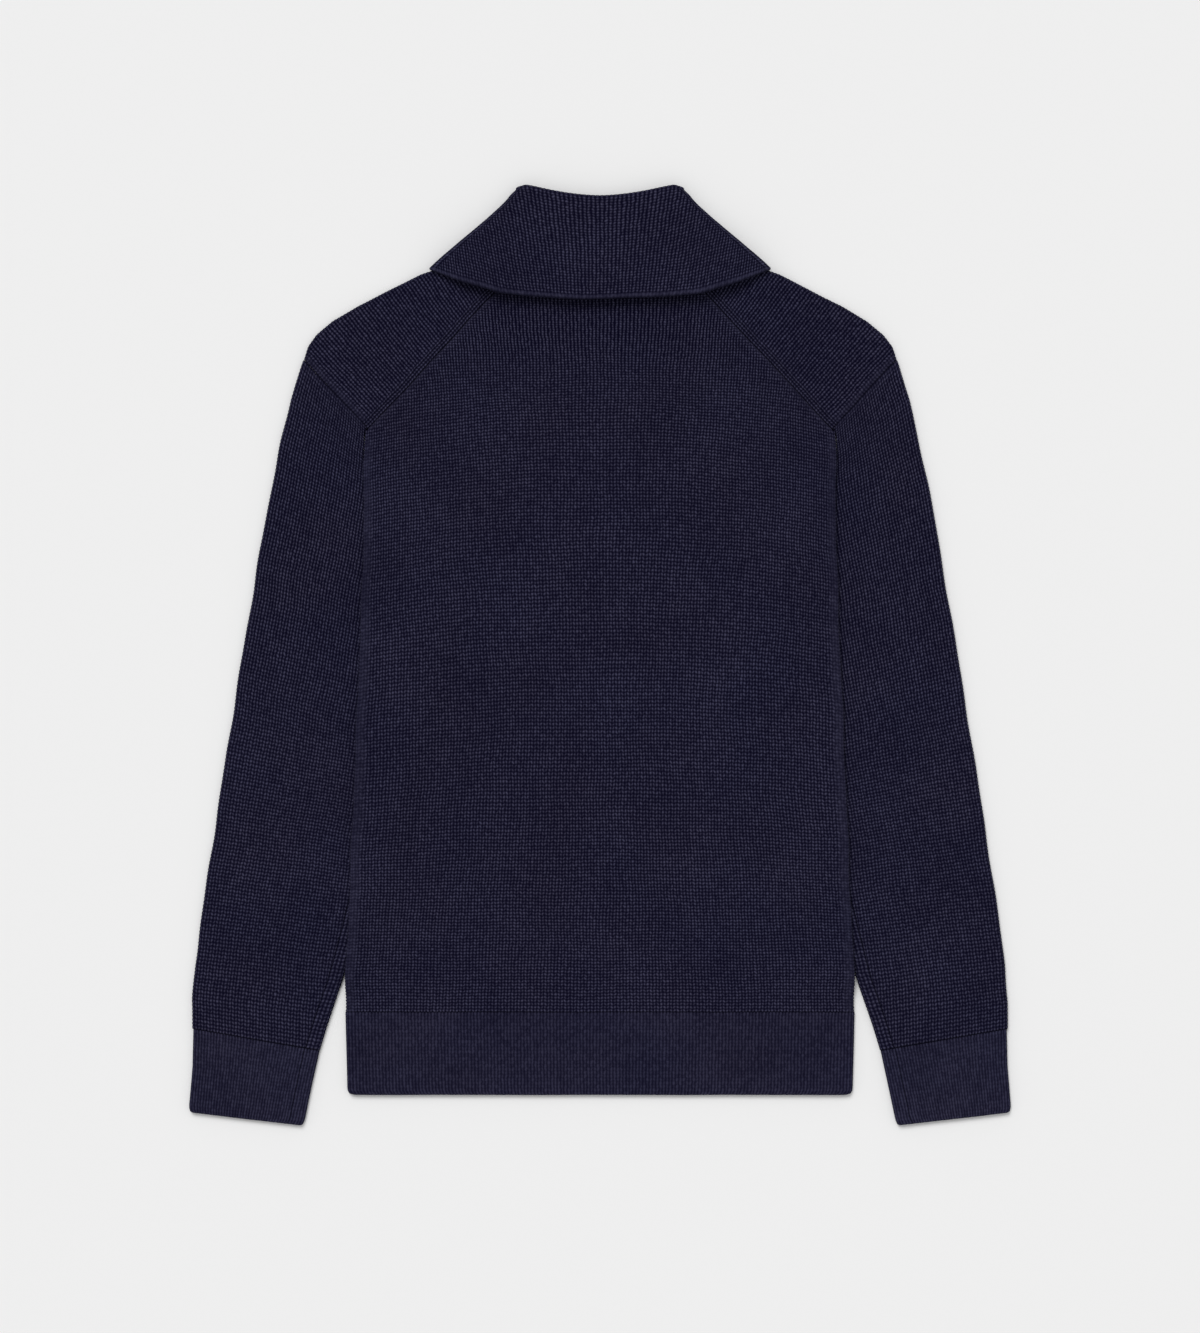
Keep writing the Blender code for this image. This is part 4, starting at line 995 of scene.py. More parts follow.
def border_seam_shade(u, v):
    """The seam to the back is the border's inner side; shade is painted into its hollow."""
    return 0.35 * smooth((v - 0.9) / 0.1)


# %% [markdown]
# ## The front's floor layer
# The front meets the back, the sleeves, the collar and the placket, and one grid can't
# follow all those edges. So each half is five patches, and each patch is filled between
# four given sides. A flat polygon cut by booleans would do for the outline, but not for
# the soft rise over the collar's leaves.

# %% Floor layer of the front
FLOOR_ROWS = np.array([
    -0.3001, -0.2950, -0.2865, -0.2780, -0.2680, -0.2200, -0.1600, -0.1000, -0.0500, 0.0,
    0.0294, 0.0600, 0.0800, 0.0920, 0.1400, 0.1640, 0.1720, 0.1800, 0.1885])
NECK_FRONT_BEND = (0.0500, 0.2960)
NECK_COLUMN_BEND = (0.0780, 0.2200)


def floor_plans():
    """Plans of the floor layer's right half, each with its steps and its free edges.

    Up to the placket's foot it is three upright strips; above, the opening for the placket
    and the neckline bound the inner strip, and armhole and shoulder the outer one.
    """
    edges = read(BODY_SIDE, FLOOR_ROWS, "front")
    lower, upper = FLOOR_ROWS <= BAND_END, FLOOR_ROWS >= BAND_END
    top_outer, top_neck = shoulder_line(np.array(0.0)), shoulder_line(np.array(1.0))
    armhole = [*zip(edges[upper], FLOOR_ROWS[upper]),
               (YOKE_CORNER[0] - SEAM, YOKE_CORNER[1] + 2 * SEAM), tuple(top_outer)]
    neck = [(SLIT, NECK_FRONT - SEAM), NECK_FRONT_BEND, tuple(top_neck)]
    neck_column = [(NECK_COLUMN, BAND_END), NECK_COLUMN_BEND, tuple(top_neck)]
    side_edge = list(zip(edges[lower], FLOOR_ROWS[lower]))

    def upright(x):
        return [(x, y) for y in FLOOR_ROWS[lower]]

    def strip(left, right):
        return fill(line([left[0], right[0]]), line([left[-1], right[-1]]),
                    rungs(left), rungs(right))

    low_rows, high_rows = lower.sum() - 1, len(armhole) - 1
    wide, rough_wide = steps(YOKE_WALES), steps(7)
    return (
        (strip(upright(0.0), upright(SLIT)), steps(2), steps(1), low_rows, ("first_v", "last_v")),
        (strip(upright(SLIT), upright(NECK_COLUMN)), steps(8), steps(4), low_rows, ("first_v",)),
        (strip(upright(NECK_COLUMN), side_edge), wide, rough_wide, low_rows, ("first_v", "last_u")),
        (fill(line([(SLIT, BAND_END), neck_column[0]]), line(neck),
              line([(SLIT, BAND_END), neck[0]]), line(neck_column)),
         steps(8), steps(4), high_rows, ("first_u", "last_v")),
        (fill(line([neck_column[0], armhole[0]]), lambda at: shoulder_line(1 - at),
              line(neck_column), rungs(armhole)),
         wide, rough_wide, high_rows, ("last_u",)))


def floor_surface(plan, side):
    """A plan laid as the front's floor layer, mirrored for the left side."""
    def surface(u, v):
        flat = plan(u, v) * np.array([side, 1.0])
        return lay(flat, front_height(flat[..., 0], flat[..., 1]), -1.0)
    return surface


# %% Make the front
def make_front():
    """Floor layer, shoulder folds, yokes and borders."""
    wall = Wall("front")
    wide, rough_wide = steps(YOKE_WALES), steps(7)
    for side in (-1, 1):
        for plan, across, rough_across, rows, free in floor_plans():
            wall.patch(floor_surface(plan, side), across, steps(4 * rows), rough_across,
                       steps(rows), floor_count(plan), free)
        wall.patch(shoulder_fold(side), wide, steps(4), rough_wide, steps(4),
                   lambda u, v: (YOKE_WALES * u, 4 * v), ("first_u", "last_u"),
                   shoulder_sink, STITCH_DEPTH)
        wall.patch(yoke(side), wide, steps(YOKE_COURSES), rough_wide, steps(4),
                   lambda u, v: (YOKE_WALES * u, YOKE_COURSES * v), ("first_u", "last_u"),
                   edge_sink, STITCH_DEPTH, plain=yoke_plain, seam=yoke_seam_shade)
        wall.patch(yoke_border(side), wide, steps(BORDER_WALES * 8), rough_wide, steps(1),
                   lambda u, v: (BORDER_WALES * v, YOKE_WALES * u), ("first_u", "last_u", "last_v"),
                   border_sink, seam=border_seam_shade)
    return wall.finish(cardigan)


front = make_front()

# %% [markdown]
# ## The sleeves
# A sleeve is knitted as one tapered piece and sewn to a tube. Laid down, it is two layers
# joined by a fold along its outer edge. Its wales run parallel to that outer edge, so
# every column keeps its distance from it, and the ones that the taper cuts off are drawn
# back onto the underarm seam. Its courses fan: steep below the shoulder seam, level
# further down, as a table of slopes says.

# %% Outline and courses of a sleeve
SLEEVE_OUTER = (("y", "x"), (
    (0.2470, 0.2493), (0.2142, 0.2600), (0.1806, 0.2675), (0.1436, 0.2751), (0.1092, 0.2818),
    (0.0748, 0.2877), (0.0395, 0.2936), (0.0042, 0.2995), (-0.0420, 0.3070), (-0.0899, 0.3146),
    (-0.1369, 0.3221), (-0.1823, 0.3289), (-0.2276, 0.3356), (-0.2604, 0.3402), (-0.2898, 0.3423),
    (-0.3142, 0.3423)))
SLEEVE_INNER = (("y", "x"), (
    (0.1893, 0.1990), (0.1640, 0.1992), (0.0294, 0.1340), (-0.0100, 0.1448), (-0.0580, 0.1579),
    (-0.1080, 0.1715), (-0.1570, 0.1849), (-0.2050, 0.1981), (-0.2520, 0.2098), (-0.2690, 0.2139),
    (-0.2780, 0.2171), (-0.2880, 0.2211), (-0.3142, 0.2297), (-0.3326, 0.2352)))
SLEEVE_SLOPE_AT = (("y", "slope"), (
    (0.2470, 47.03), (0.2142, 36.0), (0.1806, 27.0), (0.1436, 23.0), (0.1092, 20.0),
    (0.0797, 18.2), (0.0395, 16.5), (0.0042, 15.0), (-0.0420, 14.0), (-0.0899, 12.0),
    (-0.1369, 9.5), (-0.1823, 7.5), (-0.2276, 6.5), (-0.2604, 7.0), (-0.2898, 8.5),
    (-0.3142, 9.75)))
SLEEVE_PITCH = 0.00262          # from wale to wale
SLEEVE_COURSE = 0.00308         # from course to course along the outer edge
SHOULDER_Y = 0.2470             # heights at the outer edge: the first course,
ARMPIT_Y = 0.0797               # the one through the armpit
CUFF_Y = -0.3142                # and the last one
SLEEVE_SEAM = 0.0100            # from the inner edge to the underarm seam, on the back
SLIT_WIDTH = 0.0001             # gap that the underarm seam leaves
SLEEVE_PUFF = 0.0008            # how far the outer fold's stitches stand past its outline
CAP_EDGE_Y = 0.1806             # courses above this one end beside the body, not under it
CAP_EDGE_FADE = 0.0714
SLEEVE_TIP = (0.1960, 0.1900)   # where the shoulder seam meets the V point
SEAM_LAP = 0.0005               # the first course closes the gap to the shoulder by this much
SEAM_LAP_FADE = 0.0040
TOUCH = 0.0007                  # beside the body the sleeve's edge touches the body's fold
CAP_COURSES = int(round((SHOULDER_Y - ARMPIT_Y) / SLEEVE_COURSE))
ARM_COURSES = int(round((ARMPIT_Y - CUFF_Y) / SLEEVE_COURSE))
SLEEVE_WALES = 62
print("courses on a sleeve:", CAP_COURSES, "+", ARM_COURSES)


def sleeve_ends(y_outer):
    """Both ends of the course that starts at a height of the outer edge.

    The inner end is where a line of the course's slope meets the inner edge, found by
    reading the edge again and again at the height that the last reading gave.
    """
    x_outer = read(SLEEVE_OUTER, y_outer, "x")
    slope = np.tan(np.radians(read(SLEEVE_SLOPE_AT, y_outer, "slope")))
    y_inner = y_outer - 0.1 * slope
    for _ in range(25):
        x_inner = read(SLEEVE_INNER, y_inner, "x")
        y_inner = 0.5 * y_inner + 0.5 * (y_outer - (x_outer - x_inner) * slope)
    inner = np.stack([x_inner, y_inner], axis=-1)
    inner = np.where((y_outer > SHOULDER_Y - SEAM_LAP)[..., None], SLEEVE_TIP, inner)
    return np.stack([x_outer, y_outer], axis=-1), inner


def sleeve_section(y_outer, side):
    """Centres of the two edge folds of a course, and the way from the inner to the outer.

    The first courses are pushed square to that way by SEAM_LAP, up to the shoulder.
    """
    outer, inner = sleeve_ends(y_outer)
    way = unit(outer - inner)
    lap = SEAM_LAP * (1 - smooth((SHOULDER_Y - y_outer) / SEAM_LAP_FADE))
    push = np.stack([-way[..., 1], way[..., 0]], axis=-1) * lap[..., None]
    mirror = np.array([side, 1.0])
    outer_centre = (outer + push - way * (REACH - SLEEVE_PUFF)) * mirror
    inner_centre = (inner + push + way * REACH) * mirror
    return outer_centre, inner_centre, way * mirror


def beside_body(y_outer):
    """1 where a course's inner end shows beside the body, 0 where it lies under it."""
    return 1 - smooth((CAP_EDGE_Y - y_outer) / CAP_EDGE_FADE)


def seam_shift(y_outer):
    """Distance of the seam from the inner fold: none at the armpit, full a little below."""
    return 2 * SEAM + (SLEEVE_SEAM - 2 * SEAM) * smooth((ARMPIT_Y - y_outer) / 0.08)


# %% Surfaces of a sleeve
def sleeve_surfaces(side, high_y, low_y):
    """The four surfaces of a stretch of the tube between two heights of its outer edge."""
    def height(v):
        return high_y + (low_y - high_y) * v

    def top(u, v):
        outer, inner, way = sleeve_section(height(v), side)
        free_end = seam_shift(height(v)) - (REACH + 2 * SEAM + TOUCH) * beside_body(height(v))
        long = np.linalg.norm(outer - inner, axis=-1) - free_end
        apart = np.minimum((1 - u) * SLEEVE_WALES * SLEEVE_PITCH, long)
        return lay(outer - way * apart[..., None], HIGH, 1.0)

    def outer_fold(u, v):
        outer, _, way = sleeve_section(height(v), side)
        return turn(outer, way, HIGH, LOW, u * math.pi)

    def bottom(u, v):
        outer, inner, way = sleeve_section(height(v), side)
        inner = inner - way * ((REACH + TOUCH) * beside_body(height(v)))[..., None]
        return lay(outer + (inner - outer) * u[..., None], LOW, -1.0)

    def inner_fold(u, v):
        _, inner, way = sleeve_section(height(v), side)
        return turn(inner, -way, HIGH, LOW, (1 - u) * math.pi)

    def inner_strip(u, v):
        _, inner, way = sleeve_section(height(v), side)
        return lay(inner + way * ((seam_shift(height(v)) - SLIT_WIDTH) * u)[..., None], HIGH, 1.0)

    return top, outer_fold, bottom, inner_fold, inner_strip


# %% Stitches of a sleeve
CAP_SEAM_DEEP = 1.6             # depth of the seam at the shoulder, in stitch depths
SLEEVE_GROOVES = -0.3           # how much darker the grooves' painted shade is on the upper arm


def cap_sink(u, v):
    """Stitches, with a deeper first row where the cap meets the shoulder."""
    return STITCH_DEPTH * np.where(v < 0.001, CAP_SEAM_DEEP, 1.0)


def cap_plain(u, v):
    """Plain first courses at the shoulder seam, then darker painted shade in the grooves along the
    wales.
    """
    return SLEEVE_GROOVES + 0.6 * (1 - smooth((v - 0.015) / 0.03))


def arm_plain(u, v):
    """The grooves' darker painted shade fades down the arm."""
    return SLEEVE_GROOVES * (1 - smooth(v / 0.5))


def cap_seam_shade(u, v):
    """Shade painted into the hollow of the seam at the shoulder."""
    return 0.6 * (1 - smooth(v / 0.01))


# %% Make the sleeves
def make_sleeve(name, side):
    """Open cap above the armpit, closed tube below it."""
    wall = Wall(name)
    stretches = (
        (SHOULDER_Y, ARMPIT_Y, CAP_COURSES, 0, "first_v", cap_sink, cap_plain, cap_seam_shade),
        (ARMPIT_Y, CUFF_Y, ARM_COURSES, CAP_COURSES, "last_v", stitch_sink, arm_plain, None))
    for high_y, low_y, courses, before, end, sink, plain, seam in stretches:
        top, outer_fold, bottom, inner_fold, inner_strip = sleeve_surfaces(side, high_y, low_y)
        rows, rough_rows = steps(courses), steps(14)
        closed = end == "last_v"

        def put(surface, across, rough, wales, rims, depth=None, beads=STITCH_DEPTH, **marks):
            wall.patch(surface, steps(across), rows, steps(rough), rough_rows,
                       lambda u, v: (wales * u, before + courses * v), rims, depth, beads, **marks)

        put(top, SLEEVE_WALES, 12, SLEEVE_WALES, (end, "first_u"), sink, plain=plain, seam=seam)
        put(outer_fold, FOLD_WALES, 4, FOLD_WALES, (end,),
            lambda u, v: sink(u, v) * (1 - smooth(u)))
        put(bottom, 12, 8, SLEEVE_WALES, (end,) if closed else (end, "last_u"), beads=0.0)
        if closed:
            put(inner_fold, FOLD_WALES, 4, FOLD_WALES, ("first_v", end),
                lambda u, v: STITCH_DEPTH * smooth(u))
            put(inner_strip, 3, 1, FOLD_WALES, ("first_v", end, "last_u"), sink)
    return wall.finish(cardigan)


sleeve_left = make_sleeve("sleeve_left", -1)
sleeve_right = make_sleeve("sleeve_right", 1)

# %% [markdown]
# ## Ribs
# One by one rib pulls in and stands on end as fine upright ridges. They could be left to
# a bump in the material, but they are few enough to be modelled: four columns for each
# rib, whose heights follow a cosine. The free edges of the bands are rounded, so the
# thickness runs out over the last millimetre as a quarter circle does.

# %% Ribs and rounded ends
RIB_DEPTH = 0.0007
RIB_STEPS = 4                   # columns of the grid for each rib
EDGE_ROUND = 0.0011             # radius of a free edge, half the cloth


def rounded(distance):
    """Share of the thickness left at a distance from a free edge: a quarter circle."""
    near = np.clip(1 - distance / EDGE_ROUND, 0.0, 1.0)
    return np.sqrt(np.maximum(1 - near ** 2, 0.01))


def rib_sink(ribs, depth=RIB_DEPTH):
    """Depth between the ribs: ((1 + cos 2 pi ribs u) / 2) ^ 1.5, so the tops are broad."""
    def sink(u, v):
        return depth * (0.5 + 0.5 * np.cos(2 * math.pi * ribs * u)) ** 1.5
    return sink


def edge_rows(length, courses):
    """Shares of a band's length: its courses, then closer ones over the rounded end."""
    close = 1 - EDGE_ROUND / length * np.array([1.0, 0.7, 0.4, 0.15, 0.0])
    even = np.linspace(0, close[0], courses + 1)[:-1]
    return np.concatenate([even, close])


# %% [markdown]
# ## The cuffs
# A cuff is a short tube of rib, linked to the sleeve stitch by stitch. It is laid as the
# sleeve is: two layers with a fold at each side, and the seam a centimetre in from the
# inner fold. A cylinder could be flattened for it, but five patches that meet in the
# folds keep the edges crisp and the layers apart.

# %% Outline of a cuff
CUFF_ROWS = (("along", "outer_x", "outer_y", "inner_x", "inner_y"), (
    (0.0000, 0.3418, -0.3144, 0.2358, -0.3328),
    (0.0300, 0.3426, -0.3450, 0.2415, -0.3590),
    (0.0620, 0.3454, -0.3788, 0.2478, -0.3889),
    (0.0668, 0.3451, -0.3830, 0.2492, -0.3938),
    (0.0686, 0.3436, -0.3846, 0.2510, -0.3954)))
CUFF_LENGTH = 0.0686
CUFF_RIBS = 40                  # across the top, between the folds
FOLD_RIBS = 3                   # on a fold's half circle
STRIP_RIBS = 4                  # between the inner fold and the seam
CUFF_COURSES = 22


def cuff_section(v, side):
    """Fold centres of a cuff's course and the way across it."""
    down = v * CUFF_LENGTH
    outer, inner = (
        np.stack([read(CUFF_ROWS, down, f"{fold}_{axis}", "along") for axis in "xy"], axis=-1)
        for fold in ("outer", "inner"))
    way = unit(outer - inner)
    mirror = np.array([side, 1.0])
    return (outer - way * REACH) * mirror, (inner + way * REACH) * mirror, way * mirror


# %% Make the cuffs
def cuff_thin(u, v):
    """The cuff's end is rounded."""
    return rounded((1 - v) * CUFF_LENGTH)


def cuff_surfaces(side):
    """Top, outer fold, bottom, inner fold and the strip from there to the seam.

    start and end say where a layer begins and ends: 0 at the inner fold's centre, 1 at the
    outer one's, and so many metres further on.
    """
    def layer(start, end, z, up):
        def surface(u, v):
            outer, inner, way = cuff_section(v, side)
            first, last = (inner + (outer - inner) * share + way * more
                           for share, more in (start, end))
            return lay(first + (last - first) * u[..., None], z, up)
        return surface

    def outer_fold(u, v):
        outer, _, way = cuff_section(v, side)
        return turn(outer, way, HIGH, LOW, u * math.pi)

    def inner_fold(u, v):
        _, inner, way = cuff_section(v, side)
        return turn(inner, -way, HIGH, LOW, (1 - u) * math.pi)

    top = layer((0, SLEEVE_SEAM), (1, 0), HIGH, 1.0)
    bottom = layer((1, 0), (0, 0), LOW, -1.0)
    strip = layer((0, 0), (0, SLEEVE_SEAM - SLIT_WIDTH), HIGH, 1.0)
    return top, outer_fold, bottom, inner_fold, strip


def make_cuff(name, side):
    """A flat rib tube, ribbed above and on its folds, smooth on the floor side."""
    wall = Wall(name)
    rows, rough_rows = edge_rows(CUFF_LENGTH, CUFF_COURSES), edge_rows(CUFF_LENGTH, 5)
    top, outer_fold, bottom, inner_fold, strip = cuff_surfaces(side)
    ends = ("first_v", "last_v")
    patches = (
        (top, CUFF_RIBS - STRIP_RIBS, 8, ends + ("first_u",), np.ones_like),
        (outer_fold, FOLD_RIBS, 4, ends, lambda u: 1 - smooth(u)),
        (bottom, CUFF_RIBS, 8, ends, np.zeros_like),
        (inner_fold, FOLD_RIBS, 4, ends, smooth),
        (strip, STRIP_RIBS, 1, ends + ("last_u",), np.ones_like))
    for surface, ribs, rough, rims, share in patches:
        wall.patch(surface, steps(ribs * RIB_STEPS), rows, steps(rough), rough_rows,
                   lambda u, v: (ribs * u, CUFF_COURSES * v), rims,
                   lambda u, v: rib_sink(ribs)(u, v) * share(u), 0.0, cuff_thin)
    return wall.finish(cuff_ribbing)


cuff_left = make_cuff("cuff_left", -1)
cuff_right = make_cuff("cuff_right", 1)

# %% [markdown]
# ## The hem
# The hem is two rib bands, one under the other. The back's band is the wider one: it turns
# round both sides and meets the front's band in two seams underneath, as the back itself
# does. The front's band lies on the floor and is left without ribs of its own.

# %% Outline of the hem
HEM_ROWS = (("y", "edge"), (
    (-0.3002, 0.2141), (-0.3655, 0.2123), (-0.3686, 0.2106), (-0.3697, 0.2075)))
HEM_TOP, HEM_FOOT = -0.3002, -0.3697
HEM_LENGTH = HEM_TOP - HEM_FOOT
HEM_SEAM = 0.2046               # half width to the seams underneath
HEM_RIBS = 152
HEM_COURSES = 24


def hem_y(v):
    """Height of a share of the hem's length."""
    return HEM_TOP - HEM_LENGTH * v


def hem_thin(u, v):
    """The hem's lower edge is rounded."""
    return rounded((1 - v) * HEM_LENGTH)


def hem_edge(v):
    """Half width to the centre of the hem's side folds."""
    return read(HEM_ROWS, hem_y(v), "edge") - REACH


# %% Make the hem
def hem_top(u, v):
    """The back's band between its folds."""
    return lay(np.stack([(2 * u - 1) * hem_edge(v), hem_y(v)], axis=-1), HIGH, 1.0)


def hem_fold(side):
    """The fold at one side of the hem."""
    def surface(u, v):
        centre = np.stack([side * hem_edge(v), hem_y(v)], axis=-1)
        outward = np.stack([np.full_like(u, side), np.zeros_like(u)], axis=-1)
        return turn(centre, outward, HIGH, LOW, u * math.pi)
    return surface


def hem_strip(side):
    """The strip on the floor, from a fold in to the seam."""
    def surface(u, v):
        edge = hem_edge(v)
        seam = np.minimum(HEM_SEAM, edge - SEAM)
        return lay(np.stack([side * (edge + (seam - edge) * u), hem_y(v)], axis=-1), LOW, -1.0)
    return surface


def make_hem_back():
    """The rib band along the back, folded round both sides to its seams below."""
    wall = Wall("hem_back")
    rows, rough_rows = edge_rows(HEM_LENGTH, HEM_COURSES), edge_rows(HEM_LENGTH, 5)

    def put(surface, columns, rough, ribs, rims, sink):
        wall.patch(surface, steps(columns), rows, steps(rough), rough_rows,
                   lambda u, v: (ribs * u, HEM_COURSES * v), rims, sink, 0.0, hem_thin)

    ends = ("first_v", "last_v")
    put(hem_top, HEM_RIBS * RIB_STEPS, 12, HEM_RIBS, ends, rib_sink(HEM_RIBS))
    for side in (-1, 1):
        put(hem_fold(side), FOLD_RIBS * RIB_STEPS, 4, FOLD_RIBS, ends,
            lambda u, v: rib_sink(FOLD_RIBS)(u, v) * (1 - smooth(u)))
        put(hem_strip(side), 4, 1, FOLD_RIBS, ends + ("last_u",), None)
    return wall.finish(ribbing)


def hem_floor(u, v):
    """The front's band, between the seams of the back's."""
    edge = np.minimum(hem_edge(v) - SEAM, HEM_SEAM) - SEAM
    return lay(np.stack([(2 * u - 1) * edge, hem_y(v)], axis=-1), LOW, -1.0)


def make_hem_front():
    """The rib band along the front, flat on the floor."""
    wall = Wall("hem_front")
    wall.patch(hem_floor, steps(HEM_RIBS), edge_rows(HEM_LENGTH, 6),
               steps(8), edge_rows(HEM_LENGTH, 3),
               lambda u, v: (HEM_RIBS * u, HEM_COURSES * v),
               ("first_u", "last_u", "first_v", "last_v"), thin=hem_thin)
    return wall.finish(ribbing)


hem_back = make_hem_back()
hem_front = make_hem_front()

# %% [markdown]
# ## The collar
# The collar is knitted as one band: a stand that rises from the neckline to the crest, and
# a fall turned down over it. Laid flat, the fall's back covers the neck and its two points
# lie hidden under the front. Both follow the same rings around the neck, so one function
# of a station around and a ring downwards gives every point. On the fall's back the wales
# stand nearly upright and fan out a little towards the crest, and the slanted sides cut
# them off, so there the columns are read by their place and not by their share of a ring.

# %% Rings of the collar
RING_POINTS = ("side", "corner", "mid", "front")
COLLAR_RINGS = {
    "neckline": ((0.0916, 0.3395), (0.0790, 0.3140), (0.0, 0.3113), (0.0022, 0.2608)),
    "crest": ((0.0692, 0.3926), (0.0602, 0.3954), (0.0, 0.3864), (0.0022, 0.2800)),
    "edge": ((0.1441, 0.3236), (0.0836, 0.3049), (0.0, 0.2982), (0.0500, 0.2100)),
}
COLLAR_LAYER = 0.0030           # from one layer of the collar to the next
COLLAR_MIDDLE = CLOTH / 2 + 1.5 * COLLAR_LAYER      # height of the middle of its pile
COLLAR_CURL = 0.0016            # how far the fall's lower edge stands off the back
CURL_START = 2 / 7              # share of the fall from which it lifts
COLLAR_DIP = 1.7                # power of the curve in which its edges dip to the middle
EDGE_SAG = (("x", "sag"), (     # how far the lower edge sags below its straight line
    (0.0, 0.0007), (0.030, 0.0010), (0.0668, 0.0020), (0.0836, 0.0025), (0.1172, 0.0027),
    (0.1330, 0.0014), (0.1441, 0.0)))
FALL_BULGE = (("fall", "out"), (    # how far the slanted sides stand out of theirs
    (0.0, 0.0021), (0.03, 0.0023), (0.055, 0.0021), (0.08, 0.0017), (0.105, 0.0010),
    (0.13, 0.0006), (0.20, 0.0), (0.35, 0.0), (0.50, 0.0008), (0.65, 0.0019), (0.80, 0.0026),
    (0.90, 0.0026), (0.95, 0.0021), (0.98, 0.0009), (1.0, -0.0010)))
EDGE_LIFT = 0.0062              # more lift of the fall's lower edge between its tips
LIFT_FROM, LIFT_FADE = 0.1400, 0.030    # half width where that starts, and over how much
TIP_BACK, TIP_FRONT = 0.22, 0.30        # stations beside a fold that the bulge reaches


def ring_plan(name, station, reach):
    """Plan of a ring's right half. Stations run from 0 at the centre front to 1 at the side's
    fold, round it to 2, and over the back to 3. There y = middle + rise (x / corner)^COLLAR_DIP.
    """
    side, corner, mid, front = (np.array(point) for point in COLLAR_RINGS[name])
    inward = unit(corner - side)
    tangent = side + inward * reach[..., None]
    on_front = front + (tangent - front) * np.clip(station, 0, 1)[..., None]
    part = np.clip(station - 2, 0, 1)
    straight = np.linalg.norm(corner - tangent, axis=-1)
    bend = straight / (straight + np.linalg.norm(mid - corner))
    near = np.clip(part / bend, 0, 1)
    left = np.clip((1 - part) / (1 - bend), 0, 1)
    straight_part = tangent + (corner - tangent) * near[..., None]
    dip = mid[1] + (corner[1] - mid[1]) * left ** COLLAR_DIP
    curved_part = np.stack([corner[0] * left, dip], axis=-1)
    over_back = np.where((part < bend)[..., None], straight_part, curved_part)
    return np.where((station <= 1)[..., None], on_front, over_back), -inward


# %% Shape of the collar
def crest_slope():
    """Way up from the neckline on the front, square to the crest's line there."""
    side, front = (COLLAR_RINGS["crest"][RING_POINTS.index(name)] for name in ("side", "front"))
    slope = unit(np.subtract(side, front))
    return np.array([-slope[1], slope[0]])


def collar_plan(station, ring, stand, bend, fall):
    """Plan of the collar's middle line, the ways outwards and up in it, and the distance
    between the layers' middles and the pile's: three rings blended by stand and fall."""
    gap = COLLAR_LAYER / 2
    distance = 2 * gap - gap * np.cos(bend)
    plan, way = 0.0, 0.0
    for name, share in (("neckline", 1 - stand), ("crest", stand - fall), ("edge", fall)):
        ring_at, ring_way = ring_plan(name, station, distance + CLOTH / 2)
        plan = plan + ring_at * share[..., None]
        way = way + ring_way * share[..., None]
    front_share = np.clip(1 - station, 0, 1)[..., None]
    up = unit((1 - front_share) * np.array([0.0, 1.0]) + front_share * crest_slope())
    plan = plan - up * ((gap + CLOTH / 2) * stand * (1 - fall))[..., None]
    beside = (1 - smooth((station - 2) / TIP_BACK)) * (1 - smooth((1 - station) / TIP_FRONT))
    plan[..., 0] += read(FALL_BULGE, fall, "out", "fall") * beside * smooth(2 * ring - 1)
    plan[..., 1] -= read(EDGE_SAG, plan[..., 0], "sag", "x") * smooth(station - 1) * fall ** 2
    return plan, unit(way), up, distance


def collar_shape(station, ring):
    """Middle of the cloth and outward way. Ring 0 to 1 climbs the stand, 1 to 2 turns over the
    crest, and 2 to 3 runs down the fall. Between stations 1 and 2 the band turns by half a
    circle round the side's fold: middle = centre + distance (way sin a + z cos a)."""
    stand, crest, fall = (np.clip(ring - start, 0, 1) for start in (0, 1, 2))
    bend = math.pi * crest
    plan, way, up, distance = collar_plan(station, ring, stand, bend, fall)
    angle = math.pi * np.clip(2 - station, 0, 1)
    inside = smooth((LIFT_FROM - plan[..., 0]) / LIFT_FADE) * smooth(station - 1)
    lift = COLLAR_CURL + EDGE_LIFT * inside
    curl = lift * smooth((fall - CURL_START) / (1 - CURL_START)) * smooth(np.cos(angle))
    radial = np.concatenate([way * np.sin(angle)[..., None], np.cos(angle)[..., None]], axis=-1)
    crown = np.concatenate([up, np.zeros_like(angle)[..., None]], axis=-1)
    centre = np.concatenate([plan, (COLLAR_MIDDLE + curl)[..., None]], axis=-1)
    middle = (centre + radial * distance[..., None]
              + crown * (COLLAR_LAYER / 2 * np.sin(bend))[..., None])
    return middle, unit(crown * np.sin(bend)[..., None] - radial * np.cos(bend)[..., None])


# %% [markdown]
# ## The collar's wales and its edge
# The back of the band is seen from the crest to its lower edge. Its columns are placed by
# their half width, so that wales which meet the slanted sides end there, as knitted ones
# do. The lower edge is linked off in a small roll: a groove, then half a sine outwards.

# %% Columns of the fall
COLLAR_HALF = 0.1441            # half width of the fall's lower edge
COLLAR_WALES = 54               # on that half
SIDE_WALES = 4                  # round the fold at a side
LEAF_WALES = 40                 # on a leaf, which lies hidden under the front
COLLAR_SPREAD = (("fall", "spread"), ((0.0, 1.42), (0.5, 1.25), (1.0, 1.087)))
FALL_COURSES = 35
CREST_COURSES = 3
STAND_COURSES = 8
ROLL = 0.0007                   # the rolled lower edge stands out by this
ROLL_AT = 2.950                 # ring where it starts
ROLL_ROWS = np.array([0.0, 0.2, 0.4, 0.6, 0.8, 0.93, 1.0])
ROLL_TIPS = (0.88, 0.98)        # shares of the half width between which it dies out
ROLL_PLAIN = 0.8                # how plain the roll is
FALL_GROOVES = -0.25            # how much darker the painted shade in the fall's grooves is


